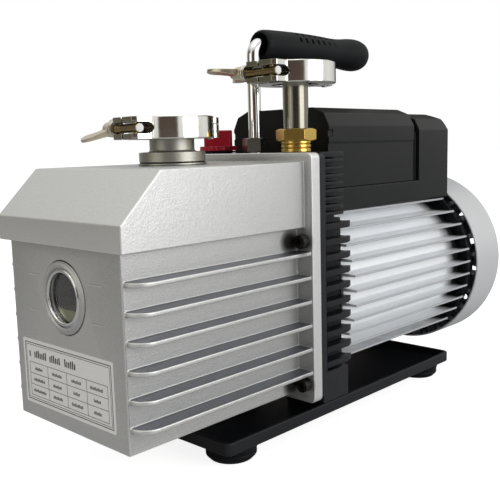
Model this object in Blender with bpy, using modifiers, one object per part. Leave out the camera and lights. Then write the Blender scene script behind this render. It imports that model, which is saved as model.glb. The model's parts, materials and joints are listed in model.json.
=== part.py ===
"""Two-stage rotary vane vacuum pump with a finned oil tank and an electric motor.

Everything is in metres with +Z up. The oil tank is at -Y, the fan cover at +Y, and the
origin is on the ground under the middle of the pump. Each sub-part has its own function.
"""
import math

import bmesh
import bpy
from mathutils import Matrix, Vector

# Driving dimensions
LENGTH = 0.425
HOOD_OVERHANG = 0.004
FRONT = HOOD_OVERHANG - LENGTH / 2      # front face of the oil tank
AXIS_Z = 0.0958                         # height of the motor and pump axis
GAP = 0.0003                            # clearance between pieces that touch

# Oil tank
TANK_HALF = 0.0588
TANK_BOTTOM = 0.0331
TANK_WALL = 0.005
HOOD_HALF = 0.0659
HOOD_BOTTOM = 0.1491
HOOD_BAND_TOP = 0.1646
HOOD_TOP = 0.1936
HOOD_CREST = FRONT + 0.0254
FLANGE_FRONT = FRONT + 0.1483
FLANGE_REAR = FRONT + 0.1573
FLANGE_HALF = 0.0725
FLANGE_BOTTOM = 0.0262
FLANGE_TOP = 0.1996
TANK_FIN_HALF = 0.071
TANK_FIN_PITCH = 0.0167
TANK_FIN_TOP = 0.1316
TANK_FIN_COUNT = 6
TANK_FIN_THICKNESS = 0.0028
SIGHT_Z = 0.1173
SIGHT_RING = 0.0226
SIGHT_GLASS = 0.0157
DRAIN_Y = FRONT + 0.035
TANK_SCREWS = [(side * 0.0658, height) for side in (1, -1) for height in (0.140, 0.0395)]

# Bracket between the tank and the motor
BRACKET_FRONT = FLANGE_REAR + GAP
BRACKET_PLATE_REAR = FRONT + 0.166
BRACKET_DECK_REAR = FRONT + 0.190
BRACKET_REAR = FRONT + 0.196
BRACKET_HALF = 0.0600
RIB_HALF = 0.068
DECK_LINE = FRONT + 0.1715              # inlet, handle and filler stand on this line
INLET_X = 0.040
FILLER_X = -0.040

# Base
TRAY_HALF = 0.0653
TRAY_FRONT = FRONT + 0.0707
TRAY_REAR = FRONT + 0.3473
TRAY_BOTTOM = 0.0107
TRAY_TOP = 0.0193
TRAY_FLOOR = 0.0132
FOOT_RADIUS = 0.0178
FOOT_X = 0.0455
FOOT_Y = (FRONT + 0.0925, FRONT + 0.3255)

# Motor
MOTOR_FRONT = BRACKET_REAR + GAP
MOTOR_REAR = FRONT + 0.368
MOTOR_CORE = 0.062
MOTOR_BORE = 0.056
MOTOR_FIN_TIP = 0.074
MOTOR_FIN_PITCH = 0.01095
MOTOR_FIN_MIDDLE = 0.0984
MOTOR_FIN_HALF = 0.0009
SHAFT = 0.008
COVER_FRONT = FRONT + 0.3738
COVER_REAR = LENGTH / 2
COVER_RADIUS = 0.078
COVER_WALL = 0.0016

# Electrical box
BOX_HALF = 0.049
BOX_FRONT = FRONT + 0.198
BOX_REAR = FRONT + 0.371
BOX_BOTTOM = 0.155
BOX_TOP = 0.232
BOX_BAND_TOP = 0.1718
LID_REAR = FRONT + 0.3175
CAP_FRONT = FRONT + 0.3225
CAP_TOP = 0.2285
SWITCH_Z = 0.209
SOCKET_Z = 0.1835
SOCKET_Y = FRONT + 0.347

# Ports with quick clamps
EXHAUST = Vector((0.0, FRONT + 0.090, 0.2181))
INLET = Vector((INLET_X, DECK_LINE, 0.254))
EXHAUST_TURN = math.radians(-6)
INLET_TURN = 0.0
CLAMP_RADIUS = 0.0285
CLAMP_HALF = 0.00725
FLANGE_RADIUS = 0.020
HINGE = 0.033
LUG_END = 0.038
LUG_WIDTH = 0.0132
BOLT_REACH = 0.0331
BOLT_RADIUS = 0.0029
BOLT_SLOT = 0.0036
WING_TILT = {"exhaust": math.radians(-118), "inlet": math.radians(-78)}

# Handle
GRIP_Z = 0.2800
ROD = 0.0048
ROD_BEND = 0.010
GRIP_FRONT = FRONT + 0.1778
GRIP_END = FRONT + 0.3078

# Pump unit in the tank
PUMP_BORE = 0.027
PUMP_ROTOR = 0.0218
PUMP_BORE_Z = AXIS_Z + PUMP_BORE - PUMP_ROTOR - GAP
PUMP_SHELL = 0.037
PUMP_FRONT = FRONT + 0.090

ALONG_X = Matrix.Rotation(math.radians(90), 4, "Y")
ALONG_Y = Matrix.Rotation(math.radians(-90), 4, "X")
UPRIGHT = Matrix.Identity(4)
SIDE_PLANE = Matrix(((0, 0, 1, 0), (1, 0, 0, 0), (0, 1, 0, 0), (0, 0, 0, 1)))    # stands an outline in YZ

PAINTS = {
    "cast_silver": ((0.56, 0.56, 0.55), 0.45, 0.6),
    "black_paint": ((0.012, 0.013, 0.015), 0.35, 0.0),
    "black_plastic": ((0.015, 0.016, 0.018), 0.45, 0.0),
    "rubber": ((0.02, 0.02, 0.022), 0.7, 0.0),
    "polished": ((0.85, 0.85, 0.84), 0.15, 1.0),
    "steel": ((0.62, 0.61, 0.58), 0.3, 1.0),
    "nickel": ((0.68, 0.62, 0.5), 0.28, 1.0),
    "brass": ((0.78, 0.58, 0.2), 0.25, 1.0),
    "white_silver": ((0.8, 0.81, 0.83), 0.35, 0.7),
    "red_plastic": ((0.45, 0.01, 0.03), 0.35, 0.0),
    "glass": ((0.75, 0.8, 0.7), 0.05, 0.0),
    "cast_iron": ((0.2, 0.2, 0.2), 0.6, 0.8),
}


def clear_scene():
    for old in list(bpy.data.objects):
        bpy.data.objects.remove(old, do_unlink=True)


def new_collection(name):
    collection = bpy.data.collections.new(name)
    bpy.context.scene.collection.children.link(collection)
    return collection


clear_scene()
PUMP = new_collection("rotary_vane_vacuum_pump")
CUTTERS = new_collection("cutters")
MATERIALS = {}


def material(paint):
    """One Principled material for each paint or metal."""
    if paint not in MATERIALS:
        colour, roughness, metallic = PAINTS[paint]
        made = bpy.data.materials.new(paint)
        made.use_nodes = True
        shader = made.node_tree.nodes["Principled BSDF"]
        shader.inputs["Base Color"].default_value = (*colour, 1.0)
        shader.inputs["Roughness"].default_value = roughness
        shader.inputs["Metallic"].default_value = metallic
        MATERIALS[paint] = made
    return MATERIALS[paint]


def place(name, mesh, paint, matrix):
    """Put a mesh in the pump, or among the cutters when it has no paint."""
    piece = bpy.data.objects.new(name, mesh)
    piece.matrix_world = matrix
    if paint is None:
        CUTTERS.objects.link(piece)
        piece.hide_render = True
        piece.display_type = "WIRE"
    else:
        PUMP.objects.link(piece)
        mesh.materials.append(material(paint))
    return piece


def from_bmesh(name, shape, paint, matrix, smooth=False):
    mesh = bpy.data.meshes.new(name)
    shape.to_mesh(mesh)
    shape.free()
    if smooth:
        mesh.shade_smooth()
        mesh.set_sharp_from_angle(angle=math.radians(35))
    return place(name, mesh, paint, matrix)


def box(name, low, high, paint=None, matrix=None):
    """A block between two corners; matrix turns it about the origin of its corners."""
    low = Vector(low)
    high = Vector(high)
    shape = bmesh.new()
    bmesh.ops.create_cube(shape, size=1.0)
    bmesh.ops.scale(shape, vec=high - low, verts=shape.verts)
    bmesh.ops.translate(shape, vec=(low + high) / 2, verts=shape.verts)
    return from_bmesh(name, shape, paint, matrix or Matrix.Identity(4))


def rod(name, start, length, radius, direction=UPRIGHT, paint=None, sides=32, tip=None):
    """A cylinder or cone that starts at a point and runs along its direction."""
    shape = bmesh.new()
    bmesh.ops.create_cone(
        shape, cap_ends=True, segments=sides, radius1=radius,
        radius2=radius if tip is None else tip, depth=length)
    bmesh.ops.translate(shape, vec=(0, 0, length / 2), verts=shape.verts)
    return from_bmesh(name, shape, paint, Matrix.Translation(start) @ direction, smooth=True)


def turned(name, profile, centre, direction=UPRIGHT, paint=None, steps=32, ring=False):
    """A turned shape: (radius, height) points down the outer side, top to bottom."""
    mesh = bpy.data.meshes.new(name)
    points = [(radius, 0.0, height) for radius, height in profile]
    edges = [(i, i + 1) for i in range(len(points) - 1)]
    if ring:
        edges.append((len(points) - 1, 0))
    mesh.from_pydata(points, edges, [])
    piece = place(name, mesh, paint, Matrix.Translation(centre) @ direction)
    screw = piece.modifiers.new("turn", "SCREW")
    screw.angle = math.tau
    screw.steps = steps
    screw.render_steps = steps
    screw.use_merge_vertices = True
    screw.merge_threshold = 0.00001
    screw.use_smooth_shade = True
    return piece


def meshed(curve_object, name, paint):
    """Make a mesh of a curve object, weld its caps and remove the curve."""
    bpy.context.view_layer.update()
    evaluated = curve_object.evaluated_get(bpy.context.evaluated_depsgraph_get())
    mesh = bpy.data.meshes.new_from_object(evaluated)
    shape = bmesh.new()
    shape.from_mesh(mesh)
    bmesh.ops.remove_doubles(shape, verts=shape.verts, dist=0.000005)
    shape.to_mesh(mesh)
    shape.free()
    mesh.materials.clear()
    matrix = curve_object.matrix_world.copy()
    bpy.data.objects.remove(curve_object, do_unlink=True)
    return place(name, mesh, paint, matrix)


def plate(name, outlines, thickness, matrix, paint=None):
    """A flat outline (the first may have holes after it), centred on its thickness."""
    curve = bpy.data.curves.new(name, "CURVE")
    curve.dimensions = "2D"
    curve.fill_mode = "BOTH"
    curve.extrude = thickness / 2
    for outline in outlines:
        spline = curve.splines.new("POLY")
        spline.points.add(len(outline) - 1)
        for point, (across, up) in zip(spline.points, outline):
            point.co = (across, up, 0.0, 1.0)
        spline.use_cyclic_u = True
    flat = bpy.data.objects.new(name + "_outline", curve)
    flat.matrix_world = matrix
    CUTTERS.objects.link(flat)
    return meshed(flat, name, paint)


def tube(name, route, radius, paint, resolution=4):
    """A round bar along a route of points."""
    curve = bpy.data.curves.new(name, "CURVE")
    curve.dimensions = "3D"
    curve.bevel_depth = radius
    curve.bevel_resolution = resolution
    curve.use_fill_caps = True
    spline = curve.splines.new("POLY")
    spline.points.add(len(route) - 1)
    for point, at in zip(spline.points, route):
        point.co = (*at, 1.0)
    bar = bpy.data.objects.new(name + "_route", curve)
    CUTTERS.objects.link(bar)
    return meshed(bar, name, paint)


def boolean(target, other, operation):
    change = target.modifiers.new(operation.lower(), "BOOLEAN")
    change.object = other
    change.operation = operation
    change.solver = "EXACT"
    other.hide_render = True
    other.display_type = "WIRE"


def cut(target, *cutters):
    for cutter in cutters:
        boolean(target, cutter, "DIFFERENCE")


def join(target, *pieces):
    for piece in pieces:
        boolean(target, piece, "UNION")


def circle(radius, count, middle=(0.0, 0.0), start=0.0):
    """Points round a circle, for outlines and holes."""
    angles = [start + math.tau * i / count for i in range(count)]
    return [(middle[0] + radius * math.cos(a), middle[1] + radius * math.sin(a)) for a in angles]


def rounded_rectangle(low, high, radius, count=4):
    """Points round a rectangle whose corners are quarter circles."""
    points = []
    corners = [(high[0], high[1], 0), (low[0], high[1], 1), (low[0], low[1], 2), (high[0], low[1], 3)]
    for corner_x, corner_y, quarter in corners:
        middle_x = corner_x - math.copysign(radius, corner_x - (low[0] + high[0]) / 2)
        middle_y = corner_y - math.copysign(radius, corner_y - (low[1] + high[1]) / 2)
        for i in range(count + 1):
            angle = math.radians(90) * (quarter + i / count)
            points.append((middle_x + radius * math.cos(angle), middle_y + radius * math.sin(angle)))
    return points


def across_plane(y):
    """A matrix that stands an outline in the XZ plane at a place along the pump."""
    return Matrix.Translation((0, y, 0)) @ Matrix.Rotation(math.radians(90), 4, "X")


def hood_outline(inset, rear):
    """Side view of the tank's hood: a low band, a sloping front and a flat top."""
    front = FRONT - HOOD_OVERHANG + inset
    return [(rear, HOOD_BOTTOM + inset), (rear, HOOD_TOP - inset),
            (HOOD_CREST + inset * 0.4, HOOD_TOP - inset),
            (front, HOOD_BAND_TOP - inset * 0.4), (front, HOOD_BOTTOM + inset)]


def tank_fins():
    """The horizontal cooling fins of both sides, with rounded front ends."""
    front = FRONT + 0.0015
    nose = 0.0122
    curve = [math.radians(90) * i / 6 for i in range(7)]
    outline = [(TANK_HALF + nose * math.sin(a), front + nose * (1 - math.cos(a))) for a in curve]
    outline += [(TANK_FIN_HALF, FLANGE_FRONT + 0.002), (TANK_HALF - 0.002, FLANGE_FRONT + 0.002)]
    outline += [(TANK_HALF - 0.002, front + 0.0005)]
    fins = []
    for i in range(TANK_FIN_COUNT):
        height = TANK_FIN_TOP - i * TANK_FIN_PITCH
        for side in (1, -1):
            mirrored = [(side * x, y) for x, y in outline][::side]
            name = f"tank_fin_{i}_{'right' if side > 0 else 'left'}"
            fins.append(plate(name, [mirrored], TANK_FIN_THICKNESS, Matrix.Translation((0, 0, height))))
    return fins


def oil_tank():
    """Cast tank: open at the rear, with hood, flange, fins and its four openings."""
    inside_rear = FLANGE_REAR + 0.003
    body_rear = FLANGE_FRONT + 0.003
    tank = box("oil_tank", (-TANK_HALF, FRONT, TANK_BOTTOM), (TANK_HALF, body_rear, HOOD_BOTTOM + 0.003),
               "cast_silver")
    hood = plate("hood_solid", [hood_outline(0.0, body_rear)], 2 * HOOD_HALF, SIDE_PLANE)
    outline = rounded_rectangle((-FLANGE_HALF, FLANGE_BOTTOM), (FLANGE_HALF, FLANGE_TOP), 0.004)
    flange = plate("flange_solid", [outline], FLANGE_REAR - FLANGE_FRONT,
                   across_plane((FLANGE_FRONT + FLANGE_REAR) / 2))
    join(tank, hood, flange, *tank_fins())
    inner = TANK_HALF - TANK_WALL
    lower = box("tank_hollow", (-inner, FRONT + TANK_WALL, TANK_BOTTOM + TANK_WALL),
                (inner, inside_rear, HOOD_BOTTOM + 0.008))
    upper = plate("hood_hollow", [hood_outline(TANK_WALL, inside_rear)], 2 * (HOOD_HALF - TANK_WALL),
                  SIDE_PLANE)
    seat = rod("sight_seat", (0, FRONT - 0.001, SIGHT_Z), 0.0025, SIGHT_RING + GAP, ALONG_Y)
    bore = rod("sight_bore", (0, FRONT - 0.01, SIGHT_Z), 0.02, SIGHT_GLASS + GAP, ALONG_Y)
    exhaust = rod("exhaust_hole", (0, EXHAUST.y, HOOD_TOP - 0.01), 0.02, 0.0105)
    drain = rod("drain_hole", (0, DRAIN_Y, TANK_BOTTOM - 0.005), 0.02, 0.0063, sides=24)
    cut(tank, lower, upper, seat, bore, exhaust, drain)
    for i, (x, z) in enumerate(TANK_SCREWS):
        cut(tank, rod(f"flange_hole_{i}", (x, FLANGE_FRONT - 0.005, z), 0.02, 0.0033, ALONG_Y, sides=16))


def tank_screws():
    """Socket-head screws that hold the tank's flange to the bracket."""
    head = 0.0060
    profile = [(0.0, 0.0180), (0.0030, 0.0180), (0.0030, 0.0), (0.0047, 0.0), (0.0047, -head), (0.0, -head)]
    for i, (x, z) in enumerate(TANK_SCREWS):
        turned(f"tank_screw_{i + 1}", profile, (x, FLANGE_FRONT - GAP, z), ALONG_Y, "steel", steps=14)


def sight_glass():
    """Oil level window: a turned ring that holds a round glass."""
    ring = [(SIGHT_GLASS - 0.0005, 0.0012), (SIGHT_RING, 0.0012), (SIGHT_RING, -0.0018),
            (SIGHT_RING - 0.0030, -0.0018), (SIGHT_RING - 0.0040, -0.0008), (SIGHT_GLASS - 0.0005, -0.0008)]
    turned("sight_glass_bezel", ring, (0, FRONT, SIGHT_Z), ALONG_Y, "cast_silver", steps=28, ring=True)
    rod("sight_glass_lens", (0, FRONT + 0.0015, SIGHT_Z), 0.003, SIGHT_GLASS, ALONG_Y, "glass", sides=28)


def hexagon(name, centre, across_flats, height, turn, paint=None):
    """A hexagonal nut blank whose flats face the turned directions."""
    matrix = Matrix.Translation(centre) @ Matrix.Rotation(turn + math.radians(30), 4, "Z")
    corner = across_flats / math.sqrt(3)
    shape = bmesh.new()
    bmesh.ops.create_cone(shape, cap_ends=True, segments=6, radius1=corner, radius2=corner, depth=height)
    bmesh.ops.translate(shape, vec=(0, 0, height / 2), verts=shape.verts)
    return from_bmesh(name, shape, paint, matrix)


def drain_fittings():
    """Drain plug and its washer under the front of the tank."""
    head_top = TANK_BOTTOM - GAP - 0.0015 - GAP
    turned("drain_washer", [(0.0063, 0.0015), (0.010, 0.0015), (0.010, 0.0), (0.0063, 0.0)],
           (0, DRAIN_Y, TANK_BOTTOM - GAP - 0.0015), UPRIGHT, "brass", steps=14, ring=True)
    plug = hexagon("drain_plug", (0, DRAIN_Y, head_top - 0.008), 0.017, 0.008, 0.0, "steel")
    join(plug, rod("drain_thread", (0, DRAIN_Y, head_top - 0.004), 0.012, 0.006, sides=24))


def bracket_ribs():
    """Cooling ribs down both sides: fine ones above, lobed ones between the motor's fins."""
    ribs = []
    root = BRACKET_HALF - 0.002
    fine = [(root, BRACKET_FRONT + 0.002), (RIB_HALF, BRACKET_FRONT + 0.002),
            (RIB_HALF, BRACKET_DECK_REAR - 0.0005), (root, BRACKET_DECK_REAR - 0.0005)]
    lobe = [(root, BRACKET_FRONT + 0.002), (0.0698, BRACKET_FRONT + 0.002), (0.0698, FRONT + 0.192),
            (0.0670, FRONT + 0.1985), (0.0638, BRACKET_REAR - 0.0005), (root, BRACKET_REAR - 0.0005)]
    levels = [(fine, 0.0024, 0.1935 - 0.0053 * i) for i in range(8)]
    levels += [(lobe, 0.0044, MOTOR_FIN_MIDDLE + MOTOR_FIN_PITCH * (i + 0.5)) for i in range(-5, 5)]
    for i, (outline, thickness, height) in enumerate(levels):
        for side in (1, -1):
            mirrored = [(side * x, y) for x, y in outline][::side]
            name = f"bracket_rib_{i}_{'right' if side > 0 else 'left'}"
            ribs.append(plate(name, [mirrored], thickness, Matrix.Translation((0, 0, height))))
    return ribs


def pump_bracket():
    """Black casting: it closes the tank, carries the motor and stands on the base."""
    outline = rounded_rectangle((-0.0703, 0.0268), (0.0703, 0.1990), 0.004)
    bracket = plate("pump_bracket", [outline], BRACKET_PLATE_REAR - BRACKET_FRONT,
                    across_plane((BRACKET_FRONT + BRACKET_PLATE_REAR) / 2), "black_paint")
    deck = box("bracket_deck", (-RIB_HALF, BRACKET_PLATE_REAR - 0.002, 0.1958),
               (RIB_HALF, BRACKET_DECK_REAR, 0.1995))
    upper = box("bracket_upper", (-BRACKET_HALF, BRACKET_PLATE_REAR - 0.003, 0.150),
                (BRACKET_HALF, BRACKET_DECK_REAR - 0.001, 0.197))
    lower = box("bracket_lower", (-BRACKET_HALF, BRACKET_PLATE_REAR - 0.0025, 0.031),
                (BRACKET_HALF, BRACKET_REAR, 0.152))
    join(bracket, deck, upper, lower)
    for side in (1, -1):
        near, far = sorted((side * 0.034, side * 0.0650))
        join(bracket, box(f"bracket_foot_{side}", (near, FRONT + 0.168, TRAY_TOP + GAP),
                          (far, FRONT + 0.1975, 0.0422)))
        near, far = sorted((side * 0.028, side * 0.0610))
        join(bracket, box(f"bracket_sole_{side}", (near, FRONT + 0.1695, TRAY_FLOOR + GAP),
                          (far, FRONT + 0.1965, 0.040)))
    join(bracket, *bracket_ribs())
    cut(bracket,
        rod("coupling_room", (0, BRACKET_PLATE_REAR, AXIS_Z), 0.0195, 0.028, ALONG_Y),
        rod("front_bearing_seat", (0, FRONT + 0.184, AXIS_Z), 0.020, 0.0203, ALONG_Y),
        rod("shaft_hole", (0, BRACKET_FRONT - 0.002, AXIS_Z), 0.020, 0.0105, ALONG_Y),
        rod("inlet_hole", (INLET_X, DECK_LINE, 0.1875), 0.02, 0.0083, sides=24),
        rod("handle_hole", (0, DECK_LINE, 0.1885), 0.02, ROD + GAP, sides=24),
        rod("filler_hole", (FILLER_X, DECK_LINE, 0.1845), 0.02, 0.0113))
    for i, (x, z) in enumerate(TANK_SCREWS):
        cut(bracket, rod(f"bracket_hole_{i}", (x, BRACKET_FRONT - 0.002, z), 0.0125, 0.0033, ALONG_Y,
                         sides=16))


def base():
    """Pressed tray with a raised rim on four rubber feet."""
    outline = rounded_rectangle((-TRAY_HALF, TRAY_FRONT), (TRAY_HALF, TRAY_REAR), 0.005)
    tray = plate("base_tray", [outline], TRAY_TOP - TRAY_BOTTOM,
                 Matrix.Translation((0, 0, (TRAY_TOP + TRAY_BOTTOM) / 2)), "black_paint")
    rim = 0.003
    inner = rounded_rectangle((rim - TRAY_HALF, TRAY_FRONT + rim), (TRAY_HALF - rim, TRAY_REAR - rim), 0.003)
    cut(tray, plate("tray_hollow", [inner], 0.02, Matrix.Translation((0, 0, TRAY_FLOOR + 0.01))))
    foot_top = TRAY_BOTTOM - GAP
    profile = [(0.0, foot_top), (FOOT_RADIUS, foot_top), (FOOT_RADIUS, 0.0035), (FOOT_RADIUS - 0.0035, 0.0),
               (0.0, 0.0)]
    for row, y in zip(("front", "rear"), FOOT_Y):
        for side, x in (("right", FOOT_X), ("left", -FOOT_X)):
            turned(f"foot_{row}_{side}", profile, (x, y, 0), UPRIGHT, "rubber", steps=20)


def handle():
    """Chrome rod that bends back over the box, its lock nut and its rubber grip."""
    bend = [math.radians(90) * i / 6 for i in range(7)]
    route = [(0, DECK_LINE, 0.190)]
    route += [(0, DECK_LINE + ROD_BEND * (1 - math.cos(a)), GRIP_Z - ROD_BEND * (1 - math.sin(a)))
              for a in bend]
    route += [(0, FRONT + 0.284, GRIP_Z)]
    tube("handle_rod", route, ROD, "polished", resolution=4)
    nut = hexagon("handle_nut", (0, DECK_LINE, FLANGE_TOP + GAP), 0.017, 0.0108, math.radians(6), "steel")
    cut(nut, rod("nut_bore", (0, DECK_LINE, 0.195), 0.03, ROD + GAP, sides=24))
    length = GRIP_END - GRIP_FRONT
    stations = [(0.0, 0.0085), (0.0012, 0.0104), (0.005, 0.0114), (0.018, 0.0119), (0.042, 0.0123),
                (0.066, 0.0120), (0.084, 0.0114), (0.096, 0.0118), (0.108, 0.0130), (0.118, 0.0130),
                (0.1255, 0.0110), (0.1292, 0.0068), (length, 0.0)]
    profile = [(radius, y) for y, radius in stations][::-1]
    bore_end = FRONT + 0.2845 - GRIP_FRONT
    profile += [(ROD + GAP, 0.0), (ROD + GAP, bore_end), (0.0, bore_end)]
    grip = turned("handle_grip", profile, (0, GRIP_FRONT, GRIP_Z), ALONG_Y, "rubber", steps=18)
    cut(grip, box("grip_mouth", (-ROD - GAP, FRONT + 0.16, 0.26), (0.02, FRONT + 0.183, GRIP_Z + ROD + GAP)))


def port_flange_profile(neck, bore, foot):
    """Outer side of a clamp flange, from its sealing face down to its foot points."""
    return [(bore, -0.00145), (FLANGE_RADIUS, -0.00145), (FLANGE_RADIUS, -0.0036), (0.0155, -0.0049),
            (neck, -0.0052)] + foot


def clamp_seal_and_cap(name, centre):
    """Centring ring with its sealing ring, and the blank cap that closes the port."""
    seal = [(0.0126, 0.00115), (0.0186, 0.00115), (0.0186, -0.00115), (0.0126, -0.00115)]
    turned(name + "_centring_ring", seal, centre, UPRIGHT, "rubber", steps=16, ring=True)
    cap = [(0.0, 0.0040), (0.0110, 0.0040), (0.0125, 0.0052), (0.0155, 0.0049), (FLANGE_RADIUS, 0.0036),
           (FLANGE_RADIUS, 0.00145), (0.0, 0.00145)]
    turned(name + "_blank_cap", cap, centre, UPRIGHT, "polished", steps=24)


def half_ring(name, side, frame):
    """One jaw of a clamp: half of a grooved ring with a slotted lug at its free end."""
    groove = [(CLAMP_RADIUS, CLAMP_HALF), (CLAMP_RADIUS, -CLAMP_HALF), (0.0165, -CLAMP_HALF),
              (0.0165, -0.0055), (0.0206, -0.0042), (0.0206, 0.0042), (0.0165, 0.0055), (0.0165, CLAMP_HALF)]
    jaw = turned(name, groove, (0, 0, 0), frame, "polished", steps=28, ring=True)
    split = 0.0006
    low, high = sorted((side * split, side * LUG_WIDTH))
    lug = box(name + "_lug", (low, -LUG_END, -CLAMP_HALF + 0.0001), (high, -0.0215, CLAMP_HALF - 0.0001),
              matrix=frame)
    low, high = sorted((-side * 0.05, side * split))
    other_half = box(name + "_split", (low, -0.06, -0.02), (high, 0.06, 0.02), matrix=frame)
    join(jaw, lug)
    cut(jaw, other_half)
    slot_end = -0.0279
    slot = box(name + "_slot", (-0.02, -0.05, -BOLT_SLOT), (0.02, slot_end, BOLT_SLOT), matrix=frame)
    round_end = rod(name + "_slot_end", (0, 0, 0), 0.04, BOLT_SLOT, sides=12)
    round_end.matrix_world = frame @ Matrix.Translation((-0.02, slot_end, 0)) @ ALONG_X
    cut(jaw, slot, round_end)
    return jaw


def clamp(name, centre, turn):
    """Hinged quick clamp: two jaws, hinge pin, swing bolt, washer and wing nut."""
    frame = Matrix.Translation(centre) @ Matrix.Rotation(turn, 4, "Z")

    def local(piece, start, direction):
        piece.matrix_world = frame @ Matrix.Translation(start) @ direction
        return piece

    def upright(tag, x, y, low, high, radius, sides=16):
        return local(rod(f"{name}_{tag}", (0, 0, 0), high - low, radius, sides=sides), (x, y, low), UPRIGHT)

    fixed = half_ring(name + "_fixed_jaw", 1, frame)
    swing = half_ring(name + "_swing_jaw", -1, frame)
    knuckle = 0.0058
    clear = knuckle + 0.0005
    middle = 0.0024
    edge = CLAMP_HALF - 0.0002
    arm_low, arm_high = 0.0008, 0.0056
    join(fixed, upright("knuckle_middle", 0, HINGE, -middle, middle, knuckle),
         box(f"{name}_arm_middle", (arm_low, 0.024, -middle + 0.0001), (arm_high, HINGE, middle - 0.0001),
             matrix=frame))
    cut(fixed, upright("clear_top", 0, HINGE, middle, 0.02, clear),
        upright("clear_bottom", 0, HINGE, -0.02, -middle, clear))
    cut(swing, upright("clear_middle", 0, HINGE, -middle - GAP, middle + GAP, clear))
    for tag, low, high in (("top", middle + GAP, edge), ("bottom", -edge, -middle - GAP)):
        join(swing, upright(f"knuckle_{tag}", 0, HINGE, low, high, knuckle),
             box(f"{name}_arm_{tag}", (-arm_high, 0.024, low + 0.0001), (-arm_low, HINGE, high - 0.0001),
                 matrix=frame))
    pin = 0.0022
    for jaw, tag in ((fixed, "fixed"), (swing, "swing")):
        cut(jaw, upright(f"pin_bore_{tag}", 0, HINGE, -0.02, 0.02, pin + GAP, sides=12))
    local(rod(name + "_hinge_pin", (0, 0, 0), 2 * CLAMP_HALF + 0.001, pin, paint="steel", sides=12),
          (0, HINGE, -CLAMP_HALF - 0.0005), UPRIGHT)
    cross = 0.0015
    pivot_x = 0.0078
    cut(fixed, upright("pivot_bore", pivot_x, -BOLT_REACH, -0.02, 0.02, cross + GAP, sides=12))
    bolt = local(rod(name + "_swing_bolt", (0, 0, 0), 0.0420, BOLT_RADIUS, paint="steel", sides=16),
                 (0.0128, -BOLT_REACH, 0), ALONG_X.inverted())
    join(bolt, upright("bolt_pivot", pivot_x, -BOLT_REACH, -0.0068, 0.0068, cross, sides=12))
    nut_axis = frame @ Matrix.Translation((-LUG_WIDTH - GAP, -BOLT_REACH, 0)) @ ALONG_X.inverted()
    washer = [(0.0032, 0.0015), (0.0056, 0.0015), (0.0056, 0.0), (0.0032, 0.0)]
    turned(name + "_clamp_washer", washer, (0, 0, 0), nut_axis, "steel", steps=14, ring=True)
    wing_nut(name, nut_axis @ Matrix.Translation((0, 0, 0.0015 + GAP)) @
             Matrix.Rotation(WING_TILT[name], 4, "Z"))


def wing_nut(name, matrix):
    """Wing nut: a tapered hub with two flared wings, bored for the swing bolt."""
    wing = [(0.0, 0.0015), (0.0045, 0.0015), (0.0085, 0.0065), (0.0135, 0.0130), (0.0158, 0.0195),
            (0.0152, 0.0240), (0.0125, 0.0255), (0.0098, 0.0232), (0.0075, 0.0170), (0.0048, 0.0118),
            (0.0, 0.0105)]
    outline = wing + [(-x, y) for x, y in wing[-2:0:-1]]
    hub = [(0.0, 0.0110), (0.0042, 0.0110), (0.0046, 0.0100), (0.0056, 0.0010), (0.0054, 0.0), (0.0, 0.0)]
    nut = turned(name + "_wing_nut", hub, (0, 0, 0), matrix, "nickel", steps=16)
    stand = matrix @ Matrix.Rotation(math.radians(90), 4, "X")
    join(nut, plate(name + "_wings", [outline], 0.0028, stand))
    bore = rod(name + "_nut_bore", (0, 0, 0), 0.05, 0.0032, sides=14)
    bore.matrix_world = matrix @ Matrix.Translation((0, 0, -0.01))
    cut(nut, bore)


def ports():
    """Exhaust port on the tank, and brass fitting and tube of the inlet on the bracket."""
    deck = HOOD_TOP + GAP - EXHAUST.z
    foot = [(0.0150, -0.0155), (0.0224, -0.0158), (0.0224, deck), (0.0102, deck),
            (0.0102, deck - 0.0080), (0.0080, deck - 0.0080)]
    turned("exhaust_port", port_flange_profile(0.0150, 0.0080, foot), EXHAUST, UPRIGHT, "steel",
           steps=28, ring=True)
    fitting_base = (INLET_X, DECK_LINE, FLANGE_TOP + GAP)
    collar = [(0.0, 0.0100), (0.0108, 0.0100), (0.0108, 0.0), (0.0080, 0.0), (0.0080, -0.0110),
              (0.0, -0.0110)]
    fitting = turned("inlet_fitting", collar, fitting_base, UPRIGHT, "brass", steps=24)
    join(fitting, hexagon("inlet_hexagon", (INLET_X, DECK_LINE, 0.2074), 0.0251, 0.0088, math.radians(4)))
    cut(fitting, rod("fitting_bore", (INLET_X, DECK_LINE, 0.18), 0.05, 0.0060, sides=24),
        rod("tube_socket", (INLET_X, DECK_LINE, 0.2095), 0.02, 0.0093, sides=24))
    tube_foot = 0.2098 - INLET.z
    foot = [(0.0090, -0.0075), (0.0090, tube_foot), (0.0075, tube_foot)]
    turned("inlet_tube", port_flange_profile(0.0115, 0.0075, foot), INLET, UPRIGHT, "polished",
           steps=20, ring=True)
    for name, centre, turn in (("exhaust", EXHAUST, EXHAUST_TURN), ("inlet", INLET, INLET_TURN)):
        clamp_seal_and_cap(name, centre)
        clamp(name, centre, turn)


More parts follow.
